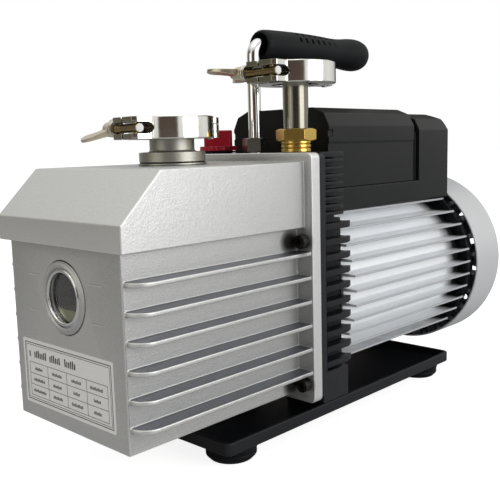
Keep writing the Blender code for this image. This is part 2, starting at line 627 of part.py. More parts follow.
def oil_filler():
    """Red filler cap with a finger grip, and the seal under it."""
    deck = FLANGE_TOP + GAP
    turned("oil_cap_seal", [(0.0114, 0.0015), (0.0138, 0.0015), (0.0138, 0.0), (0.0114, 0.0)],
           (FILLER_X, DECK_LINE, deck), UPRIGHT, "rubber", steps=16, ring=True)
    disc = deck + 0.0015 + GAP
    profile = [(0.0, 0.0036), (0.0138, 0.0036), (0.0145, 0.0029), (0.0145, 0.0), (0.0109, 0.0),
               (0.0109, -0.0140), (0.0, -0.0140)]
    cap = turned("oil_fill_cap", profile, (FILLER_X, DECK_LINE, disc), UPRIGHT, "red_plastic", steps=24)
    grip = Matrix.Translation((FILLER_X, DECK_LINE, disc)) @ Matrix.Rotation(math.radians(36), 4, "Z")
    join(cap, box("cap_grip", (-0.0108, -0.0036, 0.0020), (0.0108, 0.0036, 0.0158), matrix=grip))


def motor_outline():
    """Cross-section of the extruded housing: a round core with level fins on both sides."""
    def core(z):
        return math.sqrt(max(MOTOR_CORE ** 2 - (z - AXIS_Z) ** 2, 0.0))

    right = [(0.0, AXIS_Z + MOTOR_CORE), (0.012, AXIS_Z + math.sqrt(MOTOR_CORE ** 2 - 0.012 ** 2))]
    for i in range(5, -6, -1):
        z = MOTOR_FIN_MIDDLE + MOTOR_FIN_PITCH * i
        tip = math.sqrt(MOTOR_FIN_TIP ** 2 - (z - AXIS_Z) ** 2)
        root = MOTOR_FIN_HALF + 0.0004
        right += [(core(z + root), z + root), (tip, z + MOTOR_FIN_HALF), (tip, z - MOTOR_FIN_HALF),
                  (core(z - root), z - root)]
        if i > -5:
            below = z - MOTOR_FIN_PITCH / 2
            right.append((core(below), below))
    right += [(0.012, AXIS_Z - math.sqrt(MOTOR_CORE ** 2 - 0.012 ** 2)), (0.0, AXIS_Z - MOTOR_CORE)]
    return right + [(-x, z) for x, z in right[-2:0:-1]]


def motor():
    """Housing, wound stator, rotor with its shaft, two bearings and the rear bell."""
    middle = (MOTOR_FRONT + MOTOR_REAR) / 2
    plate("motor_housing", [motor_outline(), circle(MOTOR_BORE, 36, (0.0, AXIS_Z))],
          MOTOR_REAR - MOTOR_FRONT, across_plane(middle), "white_silver")
    axis = (0, FRONT, AXIS_Z)
    stack = [(0.050, 0.343), (0.050, 0.325), (MOTOR_BORE - GAP, 0.325), (MOTOR_BORE - GAP, 0.235),
             (0.050, 0.235), (0.050, 0.217), (0.0302, 0.217), (0.0302, 0.343)]
    turned("wound_stator", stack, axis, ALONG_Y, "cast_iron", steps=24, ring=True)
    rotor = [(0.0, 0.4025), (SHAFT, 0.4025), (SHAFT, 0.327), (0.0294, 0.325), (0.0294, 0.235),
             (SHAFT, 0.233), (SHAFT, 0.1763), (0.0, 0.1763)]
    turned("motor_rotor", rotor, axis, ALONG_Y, "steel", steps=20)
    for name, start, end, radius in (("front_bearing", 0.1860, 0.1955, 0.020),
                                     ("rear_bearing", 0.3632, 0.3727, 0.018)):
        race = [(SHAFT + GAP, end), (radius, end), (radius, start), (SHAFT + GAP, start)]
        turned(name, race, axis, ALONG_Y, "steel", steps=20, ring=True)
    bell = [(0.0095, 0.3840), (0.0235, 0.3840), (0.0260, 0.3765), (0.0720, 0.3765), (0.0720, 0.3683),
            (MOTOR_BORE - GAP, 0.3683), (MOTOR_BORE - GAP, 0.3625), (0.0183, 0.3625), (0.0183, 0.3730),
            (0.0095, 0.3730)]
    turned("rear_bell", bell, axis, ALONG_Y, "black_paint", steps=28, ring=True)


def fan_and_cover():
    """Cooling fan on the rear end of the shaft, and its pierced cover."""
    axis = (0, FRONT, AXIS_Z)
    hub = [(0.0, 0.4045), (0.013, 0.4045), (0.015, 0.4030), (0.015, 0.3860), (0.0, 0.3860)]
    fan = turned("cooling_fan", hub, axis, ALONG_Y, "black_plastic", steps=20)
    blades = 7
    for i in range(blades):
        matrix = Matrix.Translation(axis) @ Matrix.Rotation(math.tau * i / blades, 4, "Y")
        join(fan, box(f"fan_blade_{i}", (-0.001, 0.3865, 0.012), (0.001, 0.4035, 0.062), matrix=matrix))
    cut(fan, rod("fan_bore", (0, FRONT + 0.38, AXIS_Z), 0.0231, SHAFT + GAP, ALONG_Y, sides=24))
    front = COVER_FRONT - FRONT
    rear = COVER_REAR - FRONT
    corner = 0.008
    bend = [math.radians(90) * i / 2 for i in range(3)]
    bend_radius = COVER_RADIUS - corner
    outer = [(bend_radius + corner * math.sin(a), rear - corner + corner * math.cos(a)) for a in bend]
    inner_corner = corner - COVER_WALL
    inner = [(bend_radius + inner_corner * math.cos(a), rear - corner + inner_corner * math.sin(a))
             for a in bend]
    profile = [(0.0, rear)] + outer + [(COVER_RADIUS, front), (COVER_RADIUS - COVER_WALL, front)]
    profile += inner + [(0.0, rear - COVER_WALL)]
    cover = turned("fan_cover", profile, axis, ALONG_Y, "white_silver", steps=36)
    for row, (start, end, count) in enumerate(((0.018, 0.037, 8), (0.041, 0.062, 12))):
        for i in range(count):
            matrix = Matrix.Translation((0, COVER_REAR, AXIS_Z))
            matrix = matrix @ Matrix.Rotation(math.tau * (i + 0.5 * row) / count, 4, "Y")
            cut(cover, box(f"cover_slot_{row}_{i}", (-0.0025, -0.01, start), (0.0025, 0.01, end),
                           matrix=matrix))


def box_outline(inset, bottom, top):
    """Cross-section of the electrical box: upright sides, two slopes and a flat top."""
    half = BOX_HALF - inset
    right = [(half, bottom), (half, top - 0.0140), (half - 0.0050, top - 0.0045), (half - 0.0160, top)]
    return right + [(-x, z) for x, z in right[::-1]]


def electrical_box():
    """Moulded box on the motor: lower band and rear cap in one, with a separate lid."""
    middle = (BOX_FRONT + BOX_REAR) / 2
    band = rounded_rectangle((-BOX_HALF, BOX_BOTTOM), (BOX_HALF, BOX_BAND_TOP), 0.0004, 1)
    case = plate("electrical_box", [band], BOX_REAR - BOX_FRONT, across_plane(middle), "black_plastic")
    cap = plate("cap_solid", [box_outline(0.0, BOX_BAND_TOP - 0.003, CAP_TOP)], BOX_REAR - CAP_FRONT,
                across_plane((CAP_FRONT + BOX_REAR) / 2))
    neck = plate("neck_solid", [box_outline(0.004, BOX_BAND_TOP - 0.003, CAP_TOP - 0.003)], 0.010,
                 across_plane(CAP_FRONT + 0.0005))
    join(case, cap, neck)
    radius = 0.014
    arc = [math.radians(90) * i / 6 for i in range(7)]
    round_off = [(BOX_REAR + radius * (math.sin(a) - 1), CAP_TOP + radius * (math.cos(a) - 1)) for a in arc]
    round_off += [(BOX_REAR + 0.01, CAP_TOP - radius), (BOX_REAR + 0.01, CAP_TOP + 0.01),
                  (BOX_REAR - radius, CAP_TOP + 0.01)]
    cut(case, plate("cap_round_off", [round_off], 0.12, SIDE_PLANE))
    cut(case,
        rod("motor_saddle", (0, BOX_FRONT - 0.01, AXIS_Z), 0.2, MOTOR_CORE + 2 * GAP, ALONG_Y, sides=48),
        rod("bell_saddle", (0, MOTOR_REAR - 0.001, AXIS_Z), 0.01, 0.0725, ALONG_Y, sides=64),
        box("box_hollow", (-BOX_HALF + 0.003, BOX_FRONT + 0.003, 0.1612),
            (BOX_HALF - 0.003, LID_REAR - 0.003, 0.2)),
        plate("cap_hollow", [box_outline(0.0070, 0.1612, CAP_TOP - 0.010)], 0.060,
              across_plane(BOX_REAR - 0.0090 - 0.030)),
        rod("switch_opening", (-0.043, SOCKET_Y - 0.0063, SWITCH_Z), 0.0126, 0.0094, ALONG_Y, sides=40),
        box("socket_opening", (-0.06, SOCKET_Y - 0.0136, SOCKET_Z - 0.0098),
            (-0.035, SOCKET_Y + 0.0136, SOCKET_Z + 0.0098)))
    lid = plate("box_lid", [box_outline(0.0, BOX_BAND_TOP + GAP, BOX_TOP)], LID_REAR - BOX_FRONT,
                across_plane((BOX_FRONT + LID_REAR) / 2), "black_plastic")
    cut(lid, plate("lid_hollow", [box_outline(0.0025, BOX_BAND_TOP - 0.005, BOX_TOP - 0.0025)],
                   LID_REAR - BOX_FRONT, across_plane((BOX_FRONT + LID_REAR) / 2 + 0.003)))
    rod("capacitor", (-0.012, FRONT + 0.218, 0.181), 0.072, 0.0175, ALONG_Y, "white_silver", sides=20)


def switch_and_socket():
    """Rocker of the mains switch, and the appliance inlet below it."""
    rocker = rod("rocker_switch", (-0.043, SOCKET_Y - 0.0060, SWITCH_Z), 0.0120, 0.0090, ALONG_Y,
                 "red_plastic", sides=40)
    pivot = Matrix.Translation((-0.043, SOCKET_Y, SWITCH_Z))
    for tag, tilt in (("upper", 8), ("lower", -24)):
        matrix = pivot @ Matrix.Rotation(math.radians(tilt), 4, "Y")
        cut(rocker, box(f"rocker_{tag}_flat", (-0.02, -0.01, -0.02), (-0.0078, 0.01, 0.02), matrix=matrix))
    y, z = SOCKET_Y, SOCKET_Z
    socket = box("power_inlet", (-0.0513, y - 0.0150, z - 0.0112), (-0.0493, y + 0.0150, z + 0.0112),
                 "black_plastic")
    join(socket, box("socket_shell", (-0.0500, y - 0.0133, z - 0.0095), (-0.0310, y + 0.0133, z + 0.0095)))
    cut(socket, box("socket_pocket", (-0.0600, y - 0.0120, z - 0.0080), (-0.0350, y + 0.0120, z + 0.0080)))
    for i, (side, up) in enumerate(((-0.007, -0.002), (0.0, 0.002), (0.007, -0.002))):
        join(socket, box(f"socket_pin_{i}", (-0.0440, y + side - 0.001, z + up - 0.002),
                         (-0.0340, y + side + 0.001, z + up + 0.002)))


def pump_unit():
    """Pump inside the tank: stator, end cover, rotor with two vanes, valve cover, coupling."""
    bore_centre = (0, PUMP_FRONT, PUMP_BORE_Z)
    shell = rod("pump_stator", bore_centre, FLANGE_REAR - PUMP_FRONT, PUMP_SHELL, ALONG_Y, "cast_iron", 32)
    chamber = 0.0603
    cut(shell, rod("pump_chamber", (0, PUMP_FRONT - 0.001, PUMP_BORE_Z), chamber + 0.001, PUMP_BORE, ALONG_Y,
                   sides=36),
        rod("pump_shaft_hole", (0, PUMP_FRONT, AXIS_Z), 0.09, SHAFT + GAP, ALONG_Y, sides=24))
    rod("pump_end_cover", (0, PUMP_FRONT - GAP - 0.009, PUMP_BORE_Z), 0.009, PUMP_SHELL, ALONG_Y,
        "cast_iron", 32)
    coupled = FRONT + 0.1757 - PUMP_FRONT
    profile = [(0.0, coupled), (SHAFT, coupled), (SHAFT, chamber - GAP), (PUMP_ROTOR, chamber - GAP),
               (PUMP_ROTOR, GAP), (0.0, GAP)]
    rotor = turned("pump_rotor", profile, (0, PUMP_FRONT, AXIS_Z), ALONG_Y, "steel", steps=28)
    start, end = PUMP_FRONT + GAP, PUMP_FRONT + chamber - GAP
    for name, side in (("vane_1", 1), ("vane_2", -1)):
        low, high = sorted((side * 0.0040, side * 0.0215))
        wide = 0.0017
        box(name, (low, start, AXIS_Z - wide), (high, end - GAP, AXIS_Z + wide), "black_plastic")
        low, high = sorted((side * (0.0040 - GAP), side * 0.030))
        cut(rotor, box(name + "_slot", (low, start - 0.005, AXIS_Z - wide - GAP),
                       (high, end, AXIS_Z + wide + GAP)))
    valve = box("exhaust_valve_cover", (-0.020, PUMP_FRONT + 0.006, AXIS_Z + 0.020),
                (0.020, PUMP_FRONT + 0.050, AXIS_Z + 0.052), "steel")
    cut(valve, rod("valve_saddle", (0, PUMP_FRONT - 0.01, PUMP_BORE_Z), 0.08, PUMP_SHELL + 2 * GAP, ALONG_Y,
                   sides=40))
    sleeve = [(SHAFT + GAP, 0.1840), (0.0215, 0.1840), (0.0225, 0.1830), (0.0225, 0.1690),
              (0.0215, 0.1680), (SHAFT + GAP, 0.1680)]
    turned("shaft_coupling", sleeve, (0, FRONT, AXIS_Z), ALONG_Y, "steel", steps=20, ring=True)


def main():
    oil_tank()
    tank_screws()
    sight_glass()
    drain_fittings()
    pump_bracket()
    base()
    handle()
    ports()
    oil_filler()
    motor()
    fan_and_cover()
    electrical_box()
    switch_and_socket()
    pump_unit()


main()
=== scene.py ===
# %% [markdown]
# # A rotary vane vacuum pump
#
# The pump is an oil-filled cast tank, a black bracket, a finned motor with an electrical box
# on its back, two clamped vacuum ports and a handle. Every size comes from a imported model,
# the frame: this file only builds the surfaces that the eye sees around it.
# The frame could be drawn again by hand, but then pieces and joints would drift apart,
# so each piece below takes its place from the frame's nodes and rides on one of its bodies.

# %% Load the frame
import json
import math

import bmesh
import bpy
from mathutils import Matrix, Vector


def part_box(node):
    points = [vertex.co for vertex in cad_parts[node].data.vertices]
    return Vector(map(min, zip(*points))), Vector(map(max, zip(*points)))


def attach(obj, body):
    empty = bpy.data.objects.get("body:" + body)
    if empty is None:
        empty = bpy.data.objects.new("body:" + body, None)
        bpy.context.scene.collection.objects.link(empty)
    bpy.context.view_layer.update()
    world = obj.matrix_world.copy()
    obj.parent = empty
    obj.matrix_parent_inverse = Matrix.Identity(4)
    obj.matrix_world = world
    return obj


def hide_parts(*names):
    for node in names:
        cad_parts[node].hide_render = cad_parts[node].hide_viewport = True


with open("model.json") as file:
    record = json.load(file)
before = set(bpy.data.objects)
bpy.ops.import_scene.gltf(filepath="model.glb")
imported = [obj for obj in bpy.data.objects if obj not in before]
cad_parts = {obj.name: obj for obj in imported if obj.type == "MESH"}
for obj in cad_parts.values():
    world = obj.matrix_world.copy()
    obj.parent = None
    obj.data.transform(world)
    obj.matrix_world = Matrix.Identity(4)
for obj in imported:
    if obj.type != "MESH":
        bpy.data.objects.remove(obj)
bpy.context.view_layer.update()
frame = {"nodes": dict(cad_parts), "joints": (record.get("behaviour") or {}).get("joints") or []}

MM = 0.001


# %% [markdown]
# ## Where things are
#
# Places are read from the nodes' boxes. The motor axis, the middle of each port and the
# front of the tank are enough to hang everything else on.

# %% Places read from the frame
def middle(node):
    low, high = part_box(node)
    return (low + high) / 2


def joint(name):
    return next(j for j in frame["joints"] if j["name"] == name)


AXIS = Vector(joint("shaft_spin")["pos_m"])
TANK_LOW, TANK_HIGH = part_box("oil_tank")
FRONT = TANK_LOW.y + 4 * MM                 # the hood stands 4 mm proud of the front face
GLASS = Vector((0, FRONT, middle("sight_glass_lens").z))
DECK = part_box("handle_nut")[0].z
LINE = middle("handle_nut").y               # the handle, the inlet and the filler share this line
PORTS = {"exhaust": middle("exhaust_centring_ring"), "inlet": middle("inlet_centring_ring")}
UP = Matrix.Identity(4)
ALONG_Y = Matrix.Rotation(math.radians(-90), 4, "X")
ALONG_X = Matrix.Rotation(math.radians(90), 4, "Y")
print("axis height", round(AXIS.z, 4), "front", round(FRONT, 4))

# %% [markdown]
# ## The camera and the light
#
# The pump is seen from its front right corner, a little from above, with a normal lens.
# A catalogue picture is lit by big soft boxes: one large light on the right makes the long
# side bright and leaves the front in a warmer grey, and a pale room fills the shadows.
# Bright metal shows what stands around it, so the room has a few tall dark and brown panels
# that only reflections see.

# %% Camera
YAW, PITCH, ROLL = math.radians(43.95), math.radians(8.0), math.radians(-1.51)
EYE = Vector((0.3865, -0.4467, 0.2053))
ahead = Vector((-math.sin(YAW) * math.cos(PITCH), math.cos(YAW) * math.cos(PITCH), -math.sin(PITCH)))
level = Vector((math.cos(YAW), math.sin(YAW), 0))
over = level.cross(ahead)
right = level * math.cos(ROLL) + over * math.sin(ROLL)
top = over * math.cos(ROLL) - level * math.sin(ROLL)
camera = bpy.data.objects.new("camera", bpy.data.cameras.new("camera"))
camera.data.lens = 53.6
camera.data.sensor_width = 36.0
camera.matrix_world = Matrix.Translation(EYE) @ Matrix((right, top, -ahead)).transposed().to_4x4()
bpy.context.scene.collection.objects.link(camera)
bpy.context.scene.camera = camera


# %% [markdown]
# ## Shader maths
#
# A material's colour and roughness are sums over its surface. Blender writes a sum as a row
# of Math nodes, which is slow to read, so Flow wraps a socket and lets Python's own signs
# add those nodes. Finish holds one material and adds every other node with one method.

# %% Sums on sockets
class Flow:
    """A socket that can be used in sums."""

    def __init__(self, finish, socket):
        self.finish = finish
        self.socket = socket

    def __add__(self, other):
        return self.finish.maths("ADD", self, other)

    def __sub__(self, other):
        return self.finish.maths("SUBTRACT", self, other)

    def __rsub__(self, other):
        return self.finish.maths("SUBTRACT", other, self)

    def __mul__(self, other):
        return self.finish.maths("MULTIPLY", self, other)

    __radd__ = __add__
    __rmul__ = __mul__


class Finish:
    """A material whose nodes are added one by one."""

    def maths(self, operation, *terms):
        return self.node("ShaderNodeMath", {"operation": operation}, dict(enumerate(terms)))

    def __init__(self, name, **constants):
        self.material = bpy.data.materials.new(name)
        self.material.use_nodes = True
        self.tree = self.material.node_tree
        self.shader = self.tree.nodes["Principled BSDF"]
        for socket, value in constants.items():
            self.shader.inputs[socket.replace("_", " ")].default_value = value

    def node(self, kind, settings, sockets, output=0):
        made = self.tree.nodes.new(kind)
        stops = settings.pop("stops", None)
        for setting, value in settings.items():
            setattr(made, setting, value)
        if stops:
            for extra in stops[2:]:
                made.color_ramp.elements.new(1.0)
            for element, (place, colour) in zip(made.color_ramp.elements, stops):
                element.position = place
                element.color = (*colour, 1.0)
        for socket, value in sockets.items():
            self.feed(made.inputs[socket], value)
        return Flow(self, made.outputs[output])

    def feed(self, socket, value):
        if isinstance(value, Flow):
            self.tree.links.new(value.socket, socket)
        elif isinstance(value, tuple) and len(value) == 3 and len(socket.default_value) == 4:
            socket.default_value = (*value, 1.0)
        else:
            socket.default_value = value

    def set(self, name, value):
        self.feed(self.shader.inputs[name], value)
        return self

    def place(self):
        """The point on the piece, in metres."""
        return self.node("ShaderNodeTexCoord", {}, {}, output="Object")

    def noise(self, scale, detail=2.0, at=None, stretch=None):
        """Cloudy values between 0 and 1; scale is in patches per metre."""
        at = at or self.place()
        if stretch:
            at = self.node("ShaderNodeMapping", {}, {"Vector": at, "Scale": stretch})
        return self.node("ShaderNodeTexNoise", {}, {"Vector": at, "Scale": scale, "Detail": detail})

    def blend(self, share, first, second):
        """A colour between two colours."""
        return self.node("ShaderNodeMix", {"data_type": "RGBA"}, {0: share, 6: first, 7: second}, output=2)

    def spread(self, value, low, high):
        """Stretch the values between low and high over 0 to 1."""
        return self.node("ShaderNodeMapRange", {}, {0: value, 1: low, 2: high})

    def bump(self, height, depth, strength=1.0):
        """Surface relief; depth is in metres."""
        relief = self.node("ShaderNodeBump", {}, {"Height": height, "Distance": depth, "Strength": strength})
        return self.set("Normal", relief)

    def edges(self, low=0.51, high=0.56):
        """1 on outer edges, where hands and tools rub, and 0 on flats."""
        point = self.node("ShaderNodeNewGeometry", {}, {}, output="Pointiness")
        return self.spread(point, low, high)


# %% The room: pale floor, pale air and soft boxes
scene = bpy.context.scene
scene.view_settings.view_transform = "Standard"
WHITE, PALE, GREY = (0.95, 0.95, 0.91), (0.70, 0.70, 0.69), (0.15, 0.14, 0.10)
CEILING = (0.90, 0.90, 0.86)
BROWN, DARK = (0.09, 0.064, 0.048), (0.02, 0.02, 0.02)
PANELS = [(0.0, PALE), (0.08, GREY), (0.18, GREY), (0.20, DARK), (0.235, WHITE), (0.285, WHITE), (0.30, BROWN),
          (0.43, BROWN), (0.445, WHITE), (0.52, WHITE), (0.535, GREY), (0.56, PALE), (0.66, WHITE), (0.75, PALE),
          (0.80, DARK), (0.86, BROWN), (0.90, PALE), (1.0, PALE)]


def room():
    """A plain white room; reflections see upright panels all round and a bright ceiling."""
    world = bpy.data.worlds.new("studio")
    scene.world = world
    world.use_nodes = True
    tree = world.node_tree
    tree.nodes.clear()

    def add(kind, settings, sockets):
        made = tree.nodes.new(kind)
        for setting, value in settings.items():
            setattr(made, setting, value)
        for socket, value in sockets.items():
            if isinstance(value, bpy.types.NodeSocket):
                tree.links.new(value, made.inputs[socket])
            else:
                made.inputs[socket].default_value = value
        return made

    way = add("ShaderNodeSeparateXYZ", {}, {0: add("ShaderNodeTexCoord", {}, {}).outputs["Generated"]})
    turn = add("ShaderNodeMath", {"operation": "ARCTAN2"}, {0: way.outputs["Y"], 1: way.outputs["X"]})
    share = add("ShaderNodeMapRange", {}, {0: turn.outputs[0], 1: -math.pi, 2: math.pi})
    panels = add("ShaderNodeValToRGB", {}, {0: share.outputs[0]})
    for extra in PANELS[2:]:
        panels.color_ramp.elements.new(1.0)
    for element, (place, colour) in zip(panels.color_ramp.elements, PANELS):
        element.position = place
        element.color = (*colour, 1.0)
    height = add("ShaderNodeMapRange", {"interpolation_type": "SMOOTHSTEP"}, {0: way.outputs["Z"], 1: 0.4, 2: 0.7})
    mirrored = add("ShaderNodeMix", {"data_type": "RGBA"},
                   {0: height.outputs[0], 6: panels.outputs[0], 7: (*CEILING, 1)})
    rays = add("ShaderNodeLightPath", {}, {})
    lit = add("ShaderNodeMix", {"data_type": "RGBA"},
              {0: rays.outputs["Is Glossy Ray"], 6: (0.42, 0.42, 0.425, 1), 7: mirrored.outputs[2]})
    seen = add("ShaderNodeMix", {"data_type": "RGBA"},
               {0: rays.outputs["Is Camera Ray"], 6: lit.outputs[2], 7: (1, 1, 1, 1)})
    light = add("ShaderNodeBackground", {}, {"Color": seen.outputs[2]})
    add("ShaderNodeOutputWorld", {}, {"Surface": light.outputs[0]})


def soft_box(name, at, aim, size, power, colour=(1, 1, 1)):
    lamp = bpy.data.lights.new(name, "AREA")
    lamp.shape = "RECTANGLE"
    lamp.size, lamp.size_y = size
    lamp.energy = power
    lamp.color = colour
    holder = bpy.data.objects.new(name, lamp)
    way = Vector(aim) - Vector(at)
    holder.matrix_world = Matrix.Translation(at) @ way.to_track_quat("-Z", "Y").to_matrix().to_4x4()
    scene.collection.objects.link(holder)


room()
soft_box("side_box", (1.5, 0.25, 0.55), (0, 0, 0.12), (1.2, 0.9), 12.5)
soft_box("front_box", (-0.35, -1.6, 0.5), (0, -0.2, 0.12), (0.9, 0.7), 1.9, (1.0, 0.94, 0.78))
soft_box("top_box", (0.1, -0.3, 1.6), (0, 0, 0.2), (1.2, 1.2), 5)

floor_paint = Finish("pale_floor", Roughness=0.9)
floor_paint.set("Base Color", floor_paint.blend(floor_paint.noise(3.0), (0.50, 0.50, 0.50), (0.54, 0.54, 0.54)))
sight = floor_paint.node("ShaderNodeLightPath", {}, {}, output="Is Camera Ray")
floor_paint.set("Emission Color", floor_paint.blend(sight, (0.0, 0.0, 0.0), (1.0, 1.0, 1.0)))
floor_paint.set("Emission Strength", 0.86)
floor_mesh = bpy.data.meshes.new("floor")
shape = bmesh.new()
bmesh.ops.create_grid(shape, x_segments=8, y_segments=8, size=12.0)
shape.to_mesh(floor_mesh)
shape.free()
floor_mesh.materials.append(floor_paint.material)
floor = bpy.data.objects.new("floor", floor_mesh)
floor.location.z = -0.0005
scene.collection.objects.link(floor)

# %% [markdown]
# ## Finishes
#
# The tank is an aluminium casting under a silver paint. The paint holds tiny flakes, so it
# glitters in fine grains, and it wears lighter along the edges. A plain grey with some
# roughness would look like plastic: the grains, a soft orange-peel relief and paler edges
# are what make it read as a painted casting.

# %% Cast and painted finishes
UNDER_HOOD = 147 * MM                       # the fins' tops lie below this height


def silver_casting(name, wear):
    paint = Finish(name, Metallic=0.72)
    flakes = paint.spread(paint.noise(1500.0, 3.0), 0.30, 0.70)
    clouds = paint.noise(22.0, 3.0)
    colour = paint.blend(flakes, (0.44, 0.442, 0.435), (0.62, 0.622, 0.615))
    colour = paint.blend(clouds * 0.25, colour, (0.54, 0.54, 0.53))
    colour = paint.blend(paint.edges() * wear, colour, (0.90, 0.90, 0.89))
    place = paint.place()
    facing = paint.node("ShaderNodeNewGeometry", {}, {}, output="Normal")
    facing = paint.node("ShaderNodeSeparateXYZ", {}, {"Vector": facing}, output="Z")
    height = paint.node("ShaderNodeSeparateXYZ", {}, {"Vector": place}, output="Z")
    # faces that look up below the hood, the fins' tops, are painted dark blue-grey: painted shade between the fins
    dust_and_painted_shade = paint.spread(facing, 0.75, 0.95) * paint.spread(UNDER_HOOD - height, 0.0, 2 * MM)
    colour = paint.blend(dust_and_painted_shade, colour, (0.17, 0.18, 0.205))
    # a soft near-black blot in front of each tank screw: painted shade of the pocket it sits in
    side_on = paint.node("ShaderNodeMapping", {}, {"Vector": place, "Scale": (0.0, 1.0, 1.0)})
    for node in ("tank_screw_1", "tank_screw_2", "tank_screw_3", "tank_screw_4"):
        head = Vector((0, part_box(node)[0].y - 2 * MM, middle(node).z))
        away = paint.node("ShaderNodeVectorMath", {"operation": "DISTANCE"}, {0: side_on, 1: tuple(head)},
                          output="Value")
        colour = paint.blend(0.85 * (1.0 - paint.spread(away, 4 * MM, 10 * MM)), colour, (0.02, 0.019, 0.016))
    paint.set("Base Color", colour)
    paint.set("Roughness", 0.36 + flakes * 0.16)
    return paint.bump(paint.noise(900.0, 2.0) + paint.noise(260.0) * 0.7, 0.00022, 0.55)


def black_paint():
    paint = Finish("black_paint", Specular_IOR_Level=0.22)
    grain = paint.noise(700.0, 2.0)
    colour = paint.blend(grain, (0.005, 0.0055, 0.007), (0.012, 0.013, 0.016))
    paint.set("Base Color", paint.blend(paint.edges(0.52, 0.60) * 0.35, colour, (0.06, 0.06, 0.065)))
    paint.set("Roughness", 0.30 + grain * 0.16)
    return paint.bump(grain + paint.noise(240.0), 0.00018, 0.45)


def cover_paint():
    paint = Finish("cover_paint", Metallic=0.15)
    peel = paint.noise(420.0, 2.0)
    dust_and_painted_shade = paint.noise(14.0, 4.0)
    paint.set("Base Color", paint.blend(dust_and_painted_shade, (0.56, 0.575, 0.58), (0.63, 0.645, 0.65)))
    paint.set("Roughness", 0.30 + peel * 0.14)
    return paint.bump(peel, 0.00012, 0.5)


# %% [markdown]
# The housing is an extrusion in bright lacquered aluminium. Its rear end is masked badly
# when the black end bell is sprayed, so the black fades over the last 15 mm of each fin.
# The fade is a ramp along the pump with a noisy border, and the drawn marks of the
# extrusion are a noise that is stretched along the same direction.

# %% Bright metals
FIN_TIP = 74 * MM                           # distance of every fin's tip from the motor axis


def motor_finish():
    metal = Finish("motor_aluminium")
    drawn = metal.noise(260.0, 2.0, stretch=(1.0, 0.03, 1.0))
    place = metal.place()
    along = metal.node("ShaderNodeSeparateXYZ", {}, {"Vector": place}, output="Y")
    height = metal.node("ShaderNodeSeparateXYZ", {}, {"Vector": place}, output="Z")
    section = metal.node("ShaderNodeMapping", {}, {"Vector": place, "Scale": (1.0, 0.0, 1.0)})
    reach = metal.node("ShaderNodeVectorMath", {"operation": "DISTANCE"}, {0: section, 1: (0, 0, AXIS.z)},
                       output="Value")
    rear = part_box("motor_housing")[1].y
    # the fins' tips are painted a darker grey: painted shade along each fin seen edge-on
    tip = metal.spread(reach, FIN_TIP - 1.2 * MM, FIN_TIP - 0.6 * MM)
    mist = metal.noise(60.0, 3.0)
    spray = metal.spread(along + mist * 0.008, rear - 0.018, rear - 0.003)
    # the valleys between the lowest fins are painted black: painted shade on faces turned down, joined below with the
    # rear end's black overspray
    underside_shade = metal.spread(AXIS.z - height + mist * 0.006, 0.052, 0.060)
    black_overspray_and_shade = metal.maths("MAXIMUM", spray, underside_shade) * (1.0 - tip)
    bright = metal.blend(drawn, (0.84, 0.86, 0.88), (0.94, 0.95, 0.96))
    bright = metal.blend(tip, bright, (0.50, 0.51, 0.53))
    metal.set("Base Color", metal.blend(black_overspray_and_shade, bright, (0.008, 0.008, 0.009)))
    metal.set("Metallic", 0.18 * (1.0 - black_overspray_and_shade))
    metal.set("Roughness", 0.30 + drawn * 0.12)
    return metal.bump(drawn, 0.00006, 0.5)


def bright_metal(name, low, high, rough, grain=900.0, stretch=None, metallic=1.0):
    """A bare metal: two near shades and fine machining marks."""
    metal = Finish(name, Metallic=metallic)
    marks = metal.noise(grain, 3.0, stretch=stretch)
    stains = metal.noise(35.0, 3.0)
    metal.set("Base Color", metal.blend(stains * 0.5 + marks * 0.5, low, high))
    metal.set("Roughness", rough + marks * 0.08 + stains * 0.05)
    return metal.bump(marks, 0.00003, 0.35)


def sooty_metal(name, low, high, rough):
    """A dark cast or blackened part with an open grain."""
    metal = Finish(name, Metallic=0.75)
    grain = metal.noise(650.0, 4.0)
    metal.set("Base Color", metal.blend(grain, low, high))
    metal.set("Roughness", rough + grain * 0.2)
    return metal.bump(grain, 0.0001, 0.5)


def winding_finish():
    wire = Finish("lacquered_winding", Metallic=0.6)
    ring = wire.noise(900.0, 2.0, stretch=(1.0, 0.05, 1.0))
    wire.set("Base Color", wire.blend(ring, (0.25, 0.10, 0.04), (0.52, 0.25, 0.12)))
    wire.set("Roughness", 0.28 + ring * 0.2)
    return wire.bump(ring, 0.0002, 0.6)


# %% [markdown]
# The plastics and rubbers differ less in colour than in how they shine. Moulded plastic has
# a fine spark-eroded texture and a satin shine, rubber has a matt bloom that lifts its
# black, and the red filler cap is glossy.

# %% Plastics, rubber and paper
def moulded(name, low, high, rough, grain, depth, coat=0.0):
    plastic = Finish(name, Coat_Weight=coat, Coat_Roughness=0.15, Specular_IOR_Level=0.24)
    texture = plastic.noise(grain, 2.0)
    clouds = plastic.noise(18.0, 3.0)
    plastic.set("Base Color", plastic.blend(clouds * 0.6 + texture * 0.4, low, high))
    plastic.set("Roughness", rough + texture * 0.12 + clouds * 0.06)
    return plastic.bump(texture, depth, 0.5)


def rubber():
    skin = Finish("rubber", Specular_IOR_Level=0.12)
    grain = skin.noise(1400.0, 2.0)
    bloom = skin.noise(40.0, 4.0)
    skin.set("Base Color", skin.blend(bloom, (0.004, 0.005, 0.0055), (0.010, 0.011, 0.012)))
    skin.set("Roughness", 0.42 + grain * 0.2)
    return skin.bump(grain, 0.0001, 0.5)


def paper():
    sticker = Finish("label_foil")
    fibre = sticker.noise(500.0, 3.0)
    sticker.set("Base Color", sticker.blend(fibre, (0.90, 0.895, 0.87), (0.95, 0.945, 0.92)))
    sticker.set("Roughness", 0.38 + fibre * 0.1)
    return sticker


